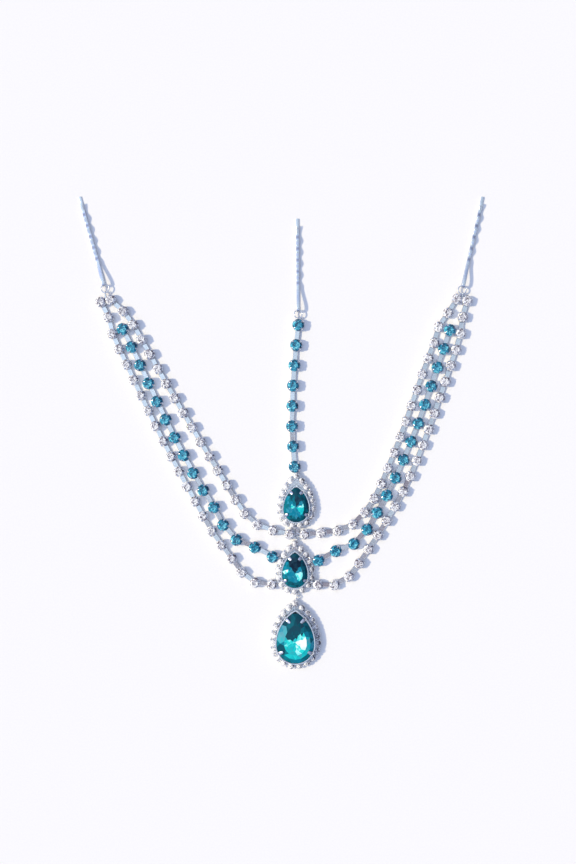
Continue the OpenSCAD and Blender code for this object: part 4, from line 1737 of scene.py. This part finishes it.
@dataclass(frozen=True)
class Studio:
    """A pale floor, a warm key light from the left, a cool fill with a card, and the camera."""

    aim: Pair = (3.35, 0.12)
    camera_high: float = 430.0
    long_side: float = 432.0
    sensor: float = 36.0
    clip: Pair = (0.01, 10.0)
    floor_half: float = 2500.0
    floor_layer: Pair = (-10.0, -0.02)
    key_high: float = 40.0
    key_soft: float = 3.5
    key_power: float = 2.92
    key_colour: tuple[float, float, float] = (1.0, 0.856, 0.52)
    fill_left: float = 1.35
    fill_right: float = 0.58
    fill_turns: float = 0.7
    sky: tuple[tuple[float, str], ...] = (
        (0.0, "#5c5e70"), (0.45, "#9ba5c5"), (0.7, "#bdcefa"), (0.92, "#d6e6fa"), (1.0, "#dceefe"))
    card: str = "#9e6f74"
    card_at: Point = (0.07, -0.14, 1.0)
    card_size: Point = (0.12, 0.085, 1.0)

    def build(self) -> None:
        """Sets the floor, the lights, the surroundings and the camera."""
        side = self.floor_half
        floor = Solid()
        floor.loft([[(-side, -side, z), (side, -side, z), (side, side, z), (-side, side, z)]
                    for z in self.floor_layer])
        ground = put("floor", floor.mesh("floor"))
        ground.data.materials.append(SHOP.material(PaperSweep()))
        key = bpy.data.lights.new("key", "SUN")
        key.energy, key.color = self.key_power, self.key_colour
        key.angle = math.radians(self.key_soft)
        put("key", key).rotation_euler = (0, math.radians(self.key_high - 90), 0)
        self.surroundings()
        lens = bpy.data.cameras.new("camera")
        lens.sensor_width, (lens.clip_start, lens.clip_end) = self.sensor, self.clip
        lens.lens = self.sensor * self.camera_high / self.long_side
        camera = put("camera", lens)
        camera.location = (self.aim[0] * MM, self.aim[1] * MM, self.camera_high * MM)
        bpy.context.scene.camera = camera
        bpy.context.scene.view_settings.view_transform = "Standard"

    def surroundings(self) -> None:
        """Builds the fill: bright overhead and on the left, with a dark card overhead."""
        world = bpy.data.worlds.new("fill")
        world.use_nodes = True
        tree = world.node_tree
        where = add_node(tree, "ShaderNodeTexCoord").outputs["Generated"]
        parts = add_node(tree, "ShaderNodeSeparateXYZ", {"Vector": where})
        sky = add_node(tree, "ShaderNodeValToRGB", {"Fac": parts.outputs["Z"]})
        fill_ramp(sky.color_ramp, self.sky)
        side = add_node(tree, "ShaderNodeMapRange", {
            "Value": parts.outputs["X"], "From Min": -self.fill_turns, "From Max": self.fill_turns,
            "To Min": self.fill_left, "To Max": self.fill_right},
            interpolation_type="SMOOTHSTEP")
        lit = add_node(tree, "ShaderNodeVectorMath", {
            0: sky.outputs["Color"], "Scale": side.outputs["Result"]}, operation="SCALE")
        off = add_node(tree, "ShaderNodeVectorMath", {0: where, 1: self.card_at},
                       operation="SUBTRACT")
        wide = add_node(tree, "ShaderNodeVectorMath", {
            0: off.outputs["Vector"], 1: self.card_size}, operation="DIVIDE")
        far = add_node(tree, "ShaderNodeVectorMath", {0: wide.outputs["Vector"]},
                       operation="LENGTH")
        card = add_node(tree, "ShaderNodeValToRGB", {"Fac": far.outputs["Value"]})
        fill_ramp(card.color_ramp, ((0.75, self.card), (1.0, "#ffffff")))
        seen = add_node(tree, "ShaderNodeVectorMath", {
            0: lit.outputs["Vector"], 1: card.outputs["Color"]}, operation="MULTIPLY")
        plug(tree, tree.nodes["Background"], {"Color": seen.outputs["Vector"]})
        bpy.context.scene.world = world


def main() -> None:
    """Builds the part's sub-assemblies in order, then the studio."""
    logging.basicConfig(level=logging.INFO, format="%(message)s")
    outer, inner, teal = (
        [Chain(f"{kind}_chain_{side}", cup, slot, seed + i, soldered)
         for i, side in enumerate(SIDES)]
        for kind, cup, slot, seed, soldered in (
            ("outer", CLEAR_CUP, Slot.CLEAR, 10, (0, 2, -1)),
            ("inner", CLEAR_CUP, Slot.CLEAR, 20, (0, 2, -1)),
            ("teal", TEAL_CUP, Slot.TEAL, 30, (0, -1))))
    centre = Chain("centre_chain", TEAL_CUP, Slot.TEAL, seed=40, soldered=(-1,))
    for chain in (*outer, *inner, *teal, centre):
        chain.build()
    eye = box_middle("ring_centre")[:2] - (0, PIN_BAIL.ring_r)
    bail = PIN_BAIL.mesh("centre_chain_bail", eye, math.pi / 2)
    dress(bail, "centre_chain_bail", "centre_chain")
    for i, side in enumerate(SIDES):
        EndPair(side, outer[i], inner[i], seed=50 + i).build()
        JoinedCups(side, outer[i], inner[i], teal[i], seed=60 + 2 * i).build()
    for side in ("left", "centre", "right"):
        BobbyPin(side).build()
        JumpRing("ring_" + side, PIN_BAIL.ring_r, wire=0.6, cut_way=200).build()
    for ring in ("upper_ring", "lower_ring"):
        JumpRing(ring, DROP_BAIL.ring_r, wire=0.45, cut_way=-20).build()
    upper, middle, drop = (
        Pendant(name, width, length, apex, top, light, seed)
        for name, width, length, apex, top, light, seed in (
            ("upper", 13, 18, 5.1, 5.2, UPPER_LIGHT, 71),
            ("middle", 13, 18, 3.8, 5.2, MIDDLE_LIGHT, 72),
            ("drop", 19, 26, 3.4, 6.4, DROP_LIGHT, 73)))
    for pendant in (upper, middle, drop):
        pendant.build()
    upper.join_last(centre, seed=81)
    Yoke(inner[0], inner[1], upper, seed=82).build()
    for i, chain in enumerate((*teal, *outer)):
        middle.join_last(chain, seed=84 + i)
    upper.hang("upper_ring", -90)
    middle.hang("upper_ring", 68)
    middle.hang("lower_ring", -83)
    drop.hang("lower_ring", 68)
    Studio().build()


if __name__ == "__main__":
    main()
